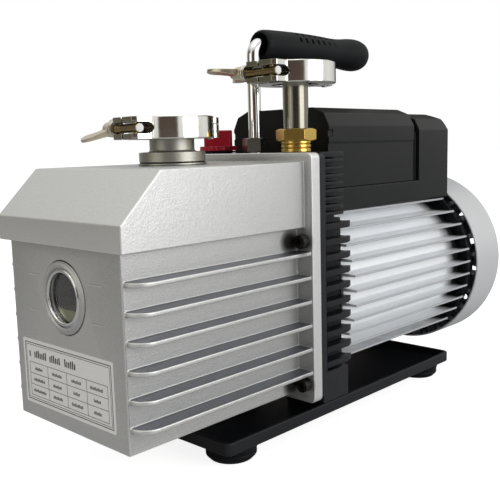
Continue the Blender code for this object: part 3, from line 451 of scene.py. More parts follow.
def clear_glass():
    pane = Finish("clear_glass", Transmission_Weight=1.0, IOR=1.5)
    haze = pane.noise(60.0, 3.0)
    pane.set("Base Color", pane.blend(haze, (0.93, 0.96, 0.93), (0.98, 1.0, 0.98)))
    pane.set("Roughness", haze * 0.03)
    return pane


def oil():
    fluid = Finish("pump_oil", Coat_Weight=0.6)
    depth = fluid.noise(120.0, 3.0)
    fluid.set("Base Color", fluid.blend(depth, (0.08, 0.075, 0.012), (0.40, 0.37, 0.07)))
    fluid.set("Roughness", 0.06 + depth * 0.1)
    return fluid


FINISHES = {
    "casting": silver_casting("silver_casting", 0.7),
    "cast_ring": silver_casting("cast_ring", 0.15),
    "black_paint": black_paint(),
    "cover": cover_paint(),
    "motor": motor_finish(),
    "polished": bright_metal("polished_aluminium", (0.68, 0.675, 0.65), (0.80, 0.795, 0.77), 0.06),
    "chrome": bright_metal("chrome", (0.72, 0.72, 0.72), (0.82, 0.82, 0.82), 0.03),
    # tube: a satin chrome whose dark brownish colour is a painted reflection of dark brown surroundings
    "tube": bright_metal("satin_chrome_painted_reflection", (0.16, 0.15, 0.12), (0.26, 0.25, 0.21), 0.12),
    "satin": bright_metal("satin_steel", (0.33, 0.32, 0.285), (0.42, 0.41, 0.37), 0.36, 1800.0, (1.0, 1.0, 0.05)),
    "steel": bright_metal("plated_steel", (0.48, 0.47, 0.45), (0.62, 0.61, 0.58), 0.22),
    "nickel": bright_metal("warm_nickel", (0.56, 0.49, 0.36), (0.72, 0.66, 0.52), 0.18),
    # lug: the clamp ring's own metal made darker, a painted dark reflection on the lugs' flat faces
    "lug": bright_metal("lug_painted_dark_reflection", (0.30, 0.285, 0.22), (0.44, 0.42, 0.34), 0.17),
    "brass": bright_metal("brass", (0.50, 0.33, 0.07), (0.74, 0.53, 0.16), 0.15),
    "bronze": bright_metal("bronze", (0.22, 0.16, 0.08), (0.36, 0.28, 0.14), 0.20),
    "dark_nickel": bright_metal("dark_nickel", (0.20, 0.195, 0.175), (0.34, 0.33, 0.30), 0.16),
    "dark_steel": sooty_metal("blackened_steel", (0.014, 0.013, 0.012), (0.040, 0.037, 0.032), 0.25),
    # cup: the inside behind the oil window, coloured dark as painted shade
    "cup": sooty_metal("window_cup", (0.05, 0.05, 0.048), (0.16, 0.16, 0.15), 0.15),
    "iron": sooty_metal("machined_iron", (0.16, 0.16, 0.16), (0.28, 0.28, 0.27), 0.35),
    "winding": winding_finish(),
    "box": moulded("satin_black_moulding", (0.005, 0.006, 0.006), (0.011, 0.012, 0.012), 0.26, 1100.0, 0.00008),
    "vane": moulded("phenolic_vane", (0.05, 0.03, 0.02), (0.09, 0.055, 0.035), 0.5, 900.0, 0.00006),
    "red": moulded("red_moulding", (0.30, 0.002, 0.012), (0.40, 0.004, 0.02), 0.22, 700.0, 0.00003, 0.3),
    # white: the bolts' nickel ends painted white, a painted highlight
    "white": moulded("white_painted_highlight", (0.78, 0.78, 0.76), (0.86, 0.86, 0.84), 0.4, 700.0, 0.00002),
    "ink": moulded("printed_ink", (0.02, 0.02, 0.02), (0.035, 0.035, 0.035), 0.5, 900.0, 0.00001),
    "rubber": rubber(),
    "paper": paper(),
    "glass": clear_glass(),
    "oil": oil(),
}
print("finishes:", len(FINISHES))


# %% [markdown]
# ## Shaping tools
#
# Most pieces of a pump are turned, cast or cut from plate, so there are four tools for them:
# a lathe that spins an outline, a prism that gives an outline a thickness, a Boolean that
# joins and cuts them, and a bevel that breaks the edges. Real edges are never sharp, and the
# thin highlight that runs along them is most of what the eye sees on a dark part.

# %% Lathe, prism and rod
def as_object(name, shape, matrix=None):
    mesh = bpy.data.meshes.new(name)
    bmesh.ops.recalc_face_normals(shape, faces=shape.faces)
    if matrix:
        bmesh.ops.transform(shape, matrix=matrix, verts=shape.verts)
    shape.to_mesh(mesh)
    shape.free()
    thing = bpy.data.objects.new(name, mesh)
    scene.collection.objects.link(thing)
    return thing


def eased(points, radius, closed=True, steps=3):
    """An outline whose corners are rounded with short curves; points on the axis stay."""
    rounded = []
    count = len(points)
    for i, corner in enumerate(points):
        corner = Vector(corner)
        ends = not closed and i in (0, count - 1)
        before = Vector(points[i - 1]) - corner
        after = Vector(points[(i + 1) % count]) - corner
        reach = min(radius, before.length * 0.45, after.length * 0.45)
        if ends or abs(corner.x) < 1e-9 or reach < 1e-6:
            rounded.append(corner)
            continue
        start = corner + before.normalized() * reach
        end = corner + after.normalized() * reach
        for k in range(steps + 1):
            t = k / steps
            rounded.append(start * (1 - t) ** 2 + corner * 2 * t * (1 - t) + end * t * t)
    return rounded


def smooth_line(points, steps=6):
    """A soft curve through the points."""
    points = [Vector(p) for p in points]
    padded = [2 * points[0] - points[1]] + points + [2 * points[-1] - points[-2]]
    line = []
    for a, b, c, d in zip(padded, padded[1:], padded[2:], padded[3:]):
        for k in range(steps):
            t = k / steps
            line.append(0.5 * (2 * b + (c - a) * t + (2 * a - 5 * b + 4 * c - d) * t ** 2
                               + (3 * b - a - 3 * c + d) * t ** 3))
    return line + [points[-1]]


def lathe(name, outline, matrix, steps=96, closed=True):
    """Spin an outline of (radius, height) points about Z, then place it."""
    shape = bmesh.new()
    points = [shape.verts.new((p[0], 0, p[1])) for p in outline]
    edges = [shape.edges.new(pair) for pair in zip(points, points[1:])]
    if closed:
        edges.append(shape.edges.new((points[-1], points[0])))
    bmesh.ops.spin(shape, geom=points + edges, cent=(0, 0, 0), axis=(0, 0, 1), angle=math.tau,
                   steps=steps, use_merge=True)
    bmesh.ops.remove_doubles(shape, verts=shape.verts, dist=1e-6)
    flat = [edge for edge in shape.edges if not edge.link_faces]
    bmesh.ops.delete(shape, geom=flat, context="EDGES")
    return as_object(name, shape, matrix)


def prism(name, outline, low, high, matrix=UP):
    """A flat outline between two heights."""
    shape = bmesh.new()
    face = shape.faces.new([shape.verts.new((x, y, low)) for x, y in outline])
    grown = bmesh.ops.extrude_face_region(shape, geom=[face])["geom"]
    lifted = [g for g in grown if isinstance(g, bmesh.types.BMVert)]
    bmesh.ops.translate(shape, vec=(0, 0, high - low), verts=lifted)
    return as_object(name, shape, matrix)


def block(name, low, high, matrix=UP):
    outline = [(low[0], low[1]), (high[0], low[1]), (high[0], high[1]), (low[0], high[1])]
    return prism(name, outline, low[2], high[2], matrix)


def rod(name, start, end, radius, matrix=UP, steps=48, chamfer=0.0):
    """A round bar between two points, with broken ends."""
    start, end = Vector(start), Vector(end)
    length = (end - start).length
    turn = (end - start).to_track_quat("Z", "Y").to_matrix().to_4x4()
    outline = [(0, 0), (radius, 0), (radius, length), (0, length)]
    outline = eased(outline, chamfer, closed=False) if chamfer else outline
    return lathe(name, outline, matrix @ Matrix.Translation(start) @ turn, steps, closed=False)


# %% Join, cut and break edges
def applied(thing):
    """Keep the result of an object's modifiers as its mesh."""
    graph = bpy.context.evaluated_depsgraph_get()
    mesh = bpy.data.meshes.new_from_object(thing.evaluated_get(graph))
    thing.modifiers.clear()
    thing.data = mesh
    return thing


def carve(thing, operation, *others):
    for other in others:
        change = thing.modifiers.new("carve", "BOOLEAN")
        change.operation = operation
        change.object = other
        change.solver = "EXACT"
    applied(thing)
    for other in others:
        bpy.data.objects.remove(other)
    return thing


def join(thing, *others):
    return carve(thing, "UNION", *others)


def cut(thing, *others):
    return carve(thing, "DIFFERENCE", *others)


def broken(thing, width, segments=2, angle=30):
    """Round every edge that is sharper than the angle."""
    change = thing.modifiers.new("edges", "BEVEL")
    change.width = width
    change.segments = segments
    change.limit_method = "ANGLE"
    change.angle_limit = math.radians(angle)
    change.use_clamp_overlap = False
    change.miter_outer = "MITER_ARC"
    return applied(thing)


def softened(node, width, segments=3, round_above=None):
    """A copy of a node with whole flats and rounded edges; round_above is the corner (y, z) of a rounder part."""
    shape = bmesh.new()
    shape.from_mesh(frame["nodes"][node].data)
    bmesh.ops.remove_doubles(shape, verts=shape.verts, dist=1e-6)
    bmesh.ops.dissolve_limit(shape, angle_limit=math.radians(1), verts=shape.verts, edges=shape.edges)
    if round_above:
        y, z = round_above
        long_edges = [edge for edge in shape.edges if edge.is_convex and all(v.co.y > y and v.co.z > z for v in edge.verts)
                      and abs((edge.verts[0].co - edge.verts[1].co).normalized().y) > 0.99]
        print(node, "long edges rounded:", len(long_edges))
        bmesh.ops.bevel(shape, geom=long_edges, offset=4.5 * MM, segments=4, profile=0.5, affect="EDGES",
                        clamp_overlap=True)
    return broken(as_object(node + "_soft", shape), width, segments)


def finished(thing, name, finish, body, slot, *nodes, smooth=32):
    """Name a piece, give it its finish and even shading, and let it ride."""
    thing.name = name
    mesh = thing.data
    mesh.materials.clear()
    mesh.materials.append(FINISHES[finish].material)
    mesh.shade_smooth()
    mesh.set_sharp_from_angle(angle=math.radians(smooth))
    even = thing.modifiers.new("even_shading", "WEIGHTED_NORMAL")
    even.keep_sharp = True
    applied(thing)
    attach(thing, body)
    if nodes:
        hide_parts(*nodes)
    return thing


# %% [markdown]
# ## The oil tank
#
# The tank is one casting: a box with a hood that overhangs it, six fins on each side and a
# flange at the rear. Modelling it again would only repeat the frame, so its node is copied,
# its flats are made whole and every edge gets the radius that a foundry pattern leaves.
# Short raised bars beside the window show the highest and lowest oil level.

# %% Tank casting, level marks and screws
tank = finished(softened("oil_tank", 0.8 * MM), "tank_casting", "casting", "pump", "tank_paint", "oil_tank")


def level_marks():
    marks = None
    for side in (-1, 1):
        for height in (11.4 * MM, -11.6 * MM):
            low = Vector((side * 33.5 * MM - 6.2 * MM, FRONT - 0.35 * MM, GLASS.z + height - 0.35 * MM))
            bar = block("level_mark", low, low + Vector((12.4 * MM, 0.6 * MM, 0.7 * MM)))
            marks = join(marks, bar) if marks else bar
    return finished(broken(marks, 0.15 * MM), "level_marks", "casting", "pump", "tank_paint")


level_marks()


def socket_screw(name, node, radius, depth):
    """A cap screw with a hexagon socket, its head towards -Y."""
    low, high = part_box(node)
    face = Matrix.Translation((middle(node).x, low.y, middle(node).z)) @ ALONG_Y
    length = high.y - low.y
    shank = radius * 0.62
    head = eased([(0, 0), (radius, 0), (radius, 6 * MM), (shank, 6 * MM), (shank, length), (0, length)],
                 0.5 * MM, closed=False)
    screw = lathe(name, head, face, 40, closed=False)
    key = [(radius * 0.55 * math.cos(math.radians(60 * i)), radius * 0.55 * math.sin(math.radians(60 * i)))
           for i in range(6)]
    return cut(screw, prism(name + "_key", key, -1 * MM, depth, face))


for i in range(1, 5):
    node = f"tank_screw_{i}"
    screw = socket_screw(node, node, 4.7 * MM, 2.6 * MM)
    finished(screw, f"socket_screw_{i}", "dark_steel", "pump", "fastener_steel", node)
print("tank:", len(tank.data.polygons), "faces")

# %% [markdown]
# ## The oil window
#
# A round glass sits behind a raised ring in the front face. Its cast ring is painted with the
# tank, and inside it is a polished lip. Behind the glass sits a cup coloured dark as painted
# shade of the tank's inside, with yellow oil in its lower part. A flat picture of that would go
# wrong as soon as the view turns, so the cup, the oil and the glass are real pieces.

# %% Ring, lip, glass, cup and oil
window = Matrix.Translation(GLASS) @ ALONG_Y
ring = eased([(18.2 * MM, 1.0 * MM), (18.2 * MM, -0.9 * MM), (19.2 * MM, -1.75 * MM), (20.3 * MM, -1.75 * MM),
              (21.2 * MM, -0.9 * MM), (22.5 * MM, -0.5 * MM), (22.5 * MM, 1.0 * MM)], 0.5 * MM)
finished(lathe("window_ring", ring, window), "window_ring", "cast_ring", "pump", "tank_paint", "sight_glass_bezel")
lip = eased([(15.3 * MM, 1.1 * MM), (15.3 * MM, -0.6 * MM), (15.9 * MM, -1.3 * MM), (17.0 * MM, -1.3 * MM),
             (17.6 * MM, -0.5 * MM), (18.1 * MM, -0.5 * MM), (18.1 * MM, 1.1 * MM)], 0.4 * MM)
finished(lathe("window_lip", lip, window), "window_lip", "chrome", "pump", "chrome")
pane = [(0, 1.6 * MM), (9 * MM, 1.8 * MM), (15.2 * MM, 2.4 * MM), (15.2 * MM, 4.2 * MM), (0, 4.2 * MM)]
pane = lathe("window_glass", pane, window, 72, closed=False)
finished(pane, "window_glass", "glass", "pump", "sight_glass", "sight_glass_lens")
# the cup's dark colour is painted shade of the tank's inside
cup = eased([(15.4 * MM, 4.6 * MM), (15.4 * MM, 17 * MM), (0, 21 * MM), (0, 22 * MM), (16 * MM, 18 * MM),
             (16 * MM, 4.6 * MM)], 1.2 * MM)
finished(lathe("window_cup", cup, window, 72), "window_cup", "cup", "pump", "port_steel")


def window_oil():
    fill = lathe("oil_fill", [(0, 4.8 * MM), (15.2 * MM, 4.8 * MM), (15.2 * MM, 16.6 * MM), (0, 19 * MM)], window,
                 72, closed=False)
    level = GLASS.z - 8.0 * MM
    above = block("above_oil", (-30 * MM, FRONT, level), (30 * MM, FRONT + 30 * MM, level + 40 * MM))
    return finished(cut(fill, above), "window_oil", "oil", "pump", "sight_glass")


window_oil()


# %% [markdown]
# ## The data plate
#
# A printed foil carries the pump's data in a bordered table. Its words and numbers belong to
# one maker, so only the table's rules are drawn, with plain bars where a line of text would
# stand. Each rule is a real sliver of ink, so it stays crisp at any distance.

# %% Foil, rules and bars
def data_plate():
    width, height = 98.5 * MM, 43 * MM
    face = Matrix.Translation((-1.7 * MM, FRONT, 64.3 * MM)) @ Matrix.Rotation(math.radians(90), 4, "X")
    face = face @ Matrix.Rotation(math.radians(0.4), 4, "Z")
    corners = eased([(width / 2, height / 2), (-width / 2, height / 2), (-width / 2, -height / 2),
                     (width / 2, -height / 2)], 1.2 * MM)
    foil = prism("foil", corners, 0.05 * MM, 0.25 * MM, face)
    finished(foil, "data_plate", "paper", "pump", "cover_paint")
    strokes = []

    def stroke(left, right, low, high):
        strokes.append((left - width / 2, right - width / 2, low - height / 2, high - height / 2))

    for inset, line in ((2.2 * MM, 0.5 * MM), (3.6 * MM, 0.3 * MM)):
        for low in (inset, height - inset - line):
            stroke(inset, width - inset, low, low + line)
        for left in (inset, width - inset - line):
            stroke(left, left + line, inset, height - inset)
    table_left, table_right, table_top = 6.5 * MM, width - 6.5 * MM, 27.5 * MM
    row, column, line = 7.4 * MM, (table_right - table_left) / 4, 0.3 * MM
    for i in range(4):
        stroke(table_left, table_right, table_top - i * row, table_top - i * row + line)
    for i in range(5):
        left = table_left + i * column
        stroke(left, left + line, table_top - 3 * row, table_top + line)

    def word(left, right, base, size):
        """A row of plain ticks, uneven like a word but with no letter in it."""
        step = size * 0.42
        for k in range(int((right - left) / step)):
            tall = size * (1.0, 0.72, 0.72, 0.9)[(k * 5 + int(left * 1e4)) % 4]
            stroke(left + k * step, left + k * step + step * 0.58, base, base + tall)

    shares = (0.42, 0.55, 0.5, 0.66, 0.62, 0.48, 0.36, 0.34, 0.72, 0.52, 0.6, 0.4)
    for i, share in enumerate(shares):
        centre = table_left + (i % 4 + 0.5) * column
        base = table_top - (i // 4 + 1) * row + 2.7 * MM
        word(centre - share * column / 2, centre + share * column / 2, base, 2.1 * MM)
    for left, right in ((7, 10), (13, 28), (31, 45), (48, 61)):
        word(left * MM, right * MM, 31.2 * MM, 5.0 * MM)
    shape = bmesh.new()
    for left, right, low, high in strokes:
        cube = bmesh.ops.create_cube(shape, size=1.0)["verts"]
        bmesh.ops.scale(shape, vec=(right - left, high - low, 0.05 * MM), verts=cube)
        bmesh.ops.translate(shape, vec=((left + right) / 2, (low + high) / 2, 0.28 * MM), verts=cube)
    finished(as_object("print", shape, face), "data_plate_print", "ink", "pump", "black_moulding")
    return len(strokes)


print("data plate:", data_plate(), "strokes")

# %% [markdown]
# ## The quick clamps
#
# A vacuum flange is held by a hinged ring with a sloping groove: the swing bolt and its wing
# nut pull the two jaws together, and the groove pulls the flanges onto the seal. The jaws are
# one turned ring that is cut in two, with a slotted lug welded to each free end, so the code
# makes the ring first and then cuts it, just as the workshop does.

# %% One clamp in its own frame: the hinge at +Y, the bolt along X at -Y
HALF = 7.25 * MM
HINGE = 33 * MM
BOLT_LINE = -33.1 * MM
LUG = 13.2 * MM
BOLT_SEAT = 1.2 * MM                        # the lug that holds the bolt is a little longer
SPLIT = 0.6 * MM
SLOT_END = -27.4 * MM


def hexagon(across):
    corner = across / math.sqrt(3)
    return [(corner * math.cos(math.radians(60 * i + 30)), corner * math.sin(math.radians(60 * i + 30)))
            for i in range(6)]


def jaw(side):
    """Half of the grooved ring with its lug; side is 1 for the half that holds the bolt."""
    groove = [(28.5, 7.25), (28.5, -7.25), (16.5, -7.25), (16.5, -5.5), (20.6, -4.2), (20.6, 4.2),
              (16.5, 5.5), (16.5, 7.25)]
    ring = lathe("jaw", eased([(r * MM, z * MM) for r, z in groove], 0.7 * MM), UP, 128)
    edge = 0.1 * MM
    wide = LUG + (BOLT_SEAT if side > 0 else 0)
    lug = [(side * SPLIT, -21.5 * MM), (side * wide, -21.5 * MM), (side * wide, -35.2 * MM),
           (side * (wide - 2.4 * MM), -38 * MM), (side * SPLIT, -38 * MM)]
    ring = join(ring, prism("lug", lug, edge - HALF, HALF - edge))
    far = sorted((-side * 60 * MM, side * SPLIT))
    ring = cut(ring, block("far", (far[0], -60 * MM, -20 * MM), (far[1], 60 * MM, 20 * MM)),
               block("slot", (-20 * MM, -60 * MM, -3.6 * MM), (20 * MM, SLOT_END, 3.6 * MM)),
               rod("slot_end", (-20 * MM, SLOT_END, 0), (20 * MM, SLOT_END, 0), 3.6 * MM, steps=32))
    inner = 2.4 * MM
    gap = 0.3 * MM
    rims = [(-inner, inner)] if side > 0 else [(inner + gap, HALF - 0.2 * MM), (0.2 * MM - HALF, -inner - gap)]
    clear = [(inner, 20 * MM), (-20 * MM, -inner)] if side > 0 else [(-inner - gap, inner + gap)]
    for bottom, height in rims:
        arm = block("arm", (min(side * 0.8, side * 5.6) * MM, 24 * MM, bottom + edge),
                    (max(side * 0.8, side * 5.6) * MM, HINGE, height - edge))
        ring = join(ring, rod("knuckle", (0, HINGE, bottom), (0, HINGE, height), 5.8 * MM), arm)
    ring = cut(ring, *[rod("clear", (0, HINGE, bottom), (0, HINGE, height), 6.3 * MM) for bottom, height in clear])
    ring = cut(ring, rod("pin_hole", (0, HINGE, -20 * MM), (0, HINGE, 20 * MM), 2.5 * MM, steps=24))
    return broken(ring, 0.35 * MM)


def swing_bolt():
    """The bolt with a rolled thread, and the cross pin that it swings on."""
    start, end, pitch = 12.8 * MM, -29.2 * MM, 1.0 * MM
    outline = [(0, start), (2.5 * MM, start), (2.9 * MM, start - 0.5 * MM), (2.9 * MM, -6 * MM)]
    for i in range(int((-6 * MM - end) / pitch) - 1):
        at = -6 * MM - (i + 0.5) * pitch
        outline += [(2.45 * MM, at), (2.9 * MM, at - pitch / 2)]
    outline += [(2.4 * MM, end), (0, end)]
    bolt = lathe("bolt", outline, Matrix.Translation((0, BOLT_LINE, 0)) @ ALONG_X, 32, closed=False)
    return join(bolt, rod("cross_pin", (7.8 * MM, BOLT_LINE, -6.8 * MM), (7.8 * MM, BOLT_LINE, 6.8 * MM), 1.5 * MM))


def wing_nut():
    """A forged nut: a waisted hub and two wings that thin out to rounded ears."""
    hub = [(3.1, 0), (5.5, 0), (5.7, 1.2), (5.2, 5.0), (4.9, 9.6), (4.2, 11), (3.1, 11)]
    nut = lathe("hub", eased([(r * MM, z * MM) for r, z in hub], 0.5 * MM), UP, 48)
    ear = [(3.4, 1.6), (6.2, 3.2), (9.2, 7.4), (13.2, 13.0), (15.6, 18.6), (15.4, 23.4), (13.0, 25.3), (10.2, 23.6),
           (8.0, 17.6), (5.4, 12.0), (3.4, 10.6)]
    line = smooth_line([(x * MM, z * MM) for x, z in ear], 5)
    for side in (1, -1):
        wing = [(side * p.x, p.y) for p in line][::side]
        stand = Matrix.Rotation(math.radians(90), 4, "X")
        plate = prism("wing", wing, -1.0 * MM, 1.0 * MM, stand)
        for vertex in plate.data.vertices:
            vertex.co.y *= 2.8 - 1.8 * abs(vertex.co.x) / (15.6 * MM)
        nut = join(nut, broken(plate, 0.3 * MM, 3))
    return nut


def clamp(name, centre, tilt):
    pin = middle(name + "_hinge_pin") - centre
    here = Matrix.Translation(centre) @ Matrix.Rotation(math.atan2(pin.y, pin.x) - math.pi / 2, 4, "Z")

    def fit(thing, part, finish, body, slot, *nodes):
        thing.data.transform(here)
        return finished(thing, f"{name}_{part}", finish, body, slot, *nodes)

    halves = [fit(jaw(1), "fixed_half", "polished", "pump", "clamp_aluminium", name + "_fixed_jaw"),
              fit(jaw(-1), "swinging_half", "polished", name + "_swing_jaw", "clamp_aluminium",
                  name + "_swing_jaw")]
    for half in halves:                     # the lugs' flat outer faces get a darker copy of the ring's metal: a painted dark reflection
        half.data.materials.append(FINISHES["lug"].material)
        for face in half.data.polygons:
            spot = here.inverted() @ face.center
            across = abs((here.inverted().to_3x3() @ face.normal).x) > 0.7
            outside = math.hypot(spot.x, spot.y) > 28.7 * MM and spot.y < -22 * MM
            face.material_index = int(outside and not across)
    pin = rod("pin", (0, HINGE, -HALF - 0.5 * MM), (0, HINGE, HALF + 0.5 * MM), 2.2 * MM, chamfer=0.5 * MM)
    fit(pin, "pivot_pin", "steel", "pump", "fastener_steel", name + "_hinge_pin")
    fit(swing_bolt(), "threaded_bolt", "bronze", "pump", "fastener_steel", name + "_swing_bolt")
    tip = eased([(0, 13.0 * MM), (2.8 * MM, 13.0 * MM), (2.8 * MM, 14.0 * MM), (0, 14.4 * MM)], 0.4 * MM, closed=False)
    tip = lathe("tip", tip, Matrix.Translation((0, BOLT_LINE, 0)) @ ALONG_X, 32, closed=False)
    # the bolt's end face is painted white: a painted highlight on its nickel end
    fit(tip, "bolt_end", "white", "pump", "fastener_steel")
    along = Matrix.Translation((-LUG - 0.3 * MM, BOLT_LINE, 0)) @ ALONG_X.inverted()
    washer = lathe("washer", eased([(3.2 * MM, 0), (5.6 * MM, 0), (5.6 * MM, 1.5 * MM), (3.2 * MM, 1.5 * MM)],
                                   0.3 * MM), along, 48)
    fit(washer, "washer", "steel", name + "_clamp_washer", "fastener_steel", name + "_clamp_washer")
    nut = wing_nut()
    nut.data.transform(along @ Matrix.Translation((0, 0, 1.8 * MM)) @ Matrix.Rotation(math.radians(tilt), 4, "Z"))
    fit(nut, "butterfly_nut", "nickel", name + "_wing_nut", "nickel", name + "_wing_nut")
    cap = eased([(0, 4.0), (11, 4.0), (12.5, 5.2), (15.5, 4.9), (20, 3.6), (20, 1.45), (0, 1.45)], 0.4, closed=False)
    cap = lathe("cap", [(p.x * MM, p.y * MM) for p in cap], UP, 96, closed=False)
    fit(cap, "cover_disc", "polished", "pump", "clamp_aluminium", name + "_blank_cap")
    rim = eased([(12.6, 1.15), (18.6, 1.15), (18.6, -1.15), (12.6, -1.15)], 0.5)
    rim = lathe("seal", [(p.x * MM, p.y * MM) for p in rim], UP, 72)
    fit(rim, "flange_seal", "rubber", "pump", "rubber", name + "_centring_ring")
    print(name, "clamp at", tuple(round(v, 4) for v in centre))


clamp("exhaust", PORTS["exhaust"], -118)
clamp("inlet", PORTS["inlet"], -78)

# %% [markdown]
# ## The ports
#
# The exhaust neck is a satin turned piece that stands on the hood with a black seal ring
# under its foot. The inlet is a polished tube in a brass union: a hexagon over a round
# collar with two grooves. Turning marks run round the exhaust neck, so its grain is stretched.

# %% Exhaust neck and its seal
def turned_piece(name, outline, centre, ease, finish, slot, *nodes, steps=112):
    outline = eased([(r * MM, z * MM) for r, z in outline], ease * MM)
    thing = lathe(name, outline, Matrix.Translation(centre), steps)
    return finished(thing, name, finish, "pump", slot, *nodes)


seat = (TANK_HIGH.z - 6 * MM - PORTS["exhaust"].z) / MM + 0.3      # the hood lies 6 mm under the flange's top
turned_piece("exhaust_neck", [(8, -1.45), (20, -1.45), (20, -3.6), (15.5, -4.9), (15.0, -5.2), (15.0, -14.4),
                              (15.8, -15.5), (22.2, -15.8), (22.2, seat + 1.9), (10.2, seat + 1.9),
                              (10.2, seat), (8, seat)], PORTS["exhaust"], 0.5, "satin", "port_steel", "exhaust_port")
turned_piece("exhaust_seal_ring", [(10.4, seat + 1.8), (21.8, seat + 1.8), (21.8, seat + 1.3), (10.4, seat + 1.3)],
             PORTS["exhaust"], 0.1, "rubber", "rubber")
turned_piece("exhaust_foot_ring", [(10.4, seat + 1.2), (22.9, seat + 1.2), (22.9, seat), (10.4, seat)],
             PORTS["exhaust"], 0.3, "satin", "port_steel")

# %% Inlet tube and brass union
INLET = PORTS["inlet"]
foot = (DECK - INLET.z) / MM
turned_piece("inlet_pipe", [(7.5, -1.45), (20, -1.45), (20, -3.6), (15.5, -4.9), (11.5, -5.2), (9.4, -6.6), (9, -8.5),
                            (9, foot), (7.5, foot)], INLET, 0.5, "tube", "chrome", "inlet_tube")


def nut_blank(name, centre, across, height, turn):
    """A hexagon whose corners are turned off in a lathe, top and bottom."""
    corner = across / math.sqrt(3)
    flat = across / 2
    drop = (corner - flat) * 0.58
    cone = [(0, 0), (flat - 0.3 * MM, 0), (corner + 0.1 * MM, drop), (corner + 0.1 * MM, height - drop),
            (flat - 0.3 * MM, height), (0, height)]
    blank = prism(name, hexagon(across), 0, height, Matrix.Rotation(turn, 4, "Z"))
    blank = carve(blank, "INTERSECT", lathe(name + "_cone", cone, UP, 96, closed=False))
    blank.data.transform(Matrix.Translation(centre))
    return blank


low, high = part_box("inlet_fitting")
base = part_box("handle_nut")[0].z
union = nut_blank("union", (INLET.x, LINE, high.z - 8.8 * MM), 25.1 * MM, 8.8 * MM, math.radians(4))
collar = eased([(0, 0), (10.8, 0), (10.8, 2.2), (9.9, 2.7), (10.8, 3.2), (10.8, 5.0), (9.9, 5.5), (10.8, 6.0),
                (10.8, 7.6), (0, 7.6)], 0.25, closed=False)
collar = lathe("collar", [(p.x * MM, p.y * MM) for p in collar], Matrix.Translation((INLET.x, LINE, base)), 96,
               closed=False)
union = cut(join(union, collar), rod("bore", (INLET.x, LINE, base - 10 * MM), (INLET.x, LINE, high.z + 10 * MM),
                                     9.2 * MM, steps=96))
finished(broken(union, 0.2 * MM, angle=40), "brass_union", "brass", "pump", "brass", "inlet_fitting")

# %% [markdown]
# ## The handle
#
# A chromed rod rises from the bracket, bends back over the pump and carries a rubber grip.
# The bend is an arc of a round bar, so a curve with a bevel makes it in one go. The grip
# swells towards its free end and has two rows of finger notches on each side.

# %% Rod, lock nut and grip
ROD_LOW, ROD_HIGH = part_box("handle_rod")
ROD = (ROD_HIGH.x - ROD_LOW.x) / 2
GRIP_Z = ROD_HIGH.z - ROD


def handle_rod():
    bend = 10 * MM
    route = [Vector((0, LINE, ROD_LOW.z))]
    route += [Vector((0, LINE + bend * (1 - math.cos(a)), GRIP_Z - bend * (1 - math.sin(a))))
              for a in (math.radians(90) * i / 16 for i in range(17))]
    route.append(Vector((0, ROD_HIGH.y, GRIP_Z)))
    curve = bpy.data.curves.new("rod", "CURVE")
    curve.dimensions = "3D"
    curve.bevel_depth = ROD
    curve.bevel_resolution = 10
    curve.use_fill_caps = True
    spline = curve.splines.new("POLY")
    spline.points.add(len(route) - 1)
    for point, at in zip(spline.points, route):
        point.co = (*at, 1.0)
    bar = bpy.data.objects.new("rod", curve)
    scene.collection.objects.link(bar)
    graph = bpy.context.evaluated_depsgraph_get()
    mesh = bpy.data.meshes.new_from_object(bar.evaluated_get(graph))
    bpy.data.objects.remove(bar)
    thing = bpy.data.objects.new("rod", mesh)
    scene.collection.objects.link(thing)
    return finished(thing, "handle_bar", "chrome", "pump", "chrome", "handle_rod")


def grip():
    start, end = (corner.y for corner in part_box("handle_grip"))
    stations = [(0, 8.5), (1.2, 10.4), (5, 11.4), (18, 11.9), (42, 12.3), (66, 12.0), (84, 11.4), (96, 11.8),
                (108, 13.0), (118, 13.0), (125.5, 11.0), (129.2, 6.8)]
    line = smooth_line([(radius * MM, y * MM) for y, radius in stations] + [(0, end - start)], 4)
    outline = [(0, 2 * MM), (ROD, 2 * MM), (ROD + 0.2 * MM, 0.2 * MM)] + [(max(p.x, 0), p.y) for p in line]
    sag = 1.2 * MM
    here = Matrix.Translation((0, start, GRIP_Z - sag)) @ ALONG_Y
    body = lathe("grip", outline, here, 72, closed=False)
    notches = []
    for side in (1, -1):
        for angle in (58, 26):
            for i in range(7):
                turn = Matrix.Rotation(-side * math.radians(angle) + (math.pi if side < 0 else 0), 4, "Y")
                spot = Matrix.Translation((0, start + (36 + 7.2 * i) * MM, GRIP_Z - sag)) @ turn
                notches.append(block("notch", (11.1 * MM, -1.3 * MM, -2.0 * MM), (16 * MM, 1.3 * MM, 2.0 * MM), spot))
    mouth = block("mouth", (-ROD - 0.6 * MM, start - 10 * MM, GRIP_Z - 30 * MM),
                  (ROD + 0.6 * MM, start + 6 * MM, GRIP_Z + ROD * 0.9))
    funnel = lathe("funnel", [(0, -MM), (9.2 * MM, -MM), (8.6 * MM, 2 * MM), (5.4 * MM, 14 * MM), (0, 14 * MM)], here,
                   48, closed=False)
    body = cut(body, mouth, funnel, *notches)
    return finished(broken(body, 0.25 * MM, angle=38), "grip_sleeve", "rubber", "pump", "rubber", "handle_grip")


handle_rod()
grip()
low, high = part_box("handle_nut")
nut = nut_blank("lock_nut", (0, LINE, low.z), 17 * MM, high.z - low.z, math.radians(6))
nut = cut(nut, rod("nut_bore", (0, LINE, low.z - MM), (0, LINE, high.z + MM), ROD + 0.15 * MM, steps=64))
finished(nut, "lock_nut", "dark_nickel", "pump", "port_steel", "handle_nut")


# %% [markdown]
# ## The oil filler
#
# The red cap screws into the bracket beside the handle. It is a knurled disc with a bar
# across it for the fingers. The knurl is a ring of small grooves cut into the rim.

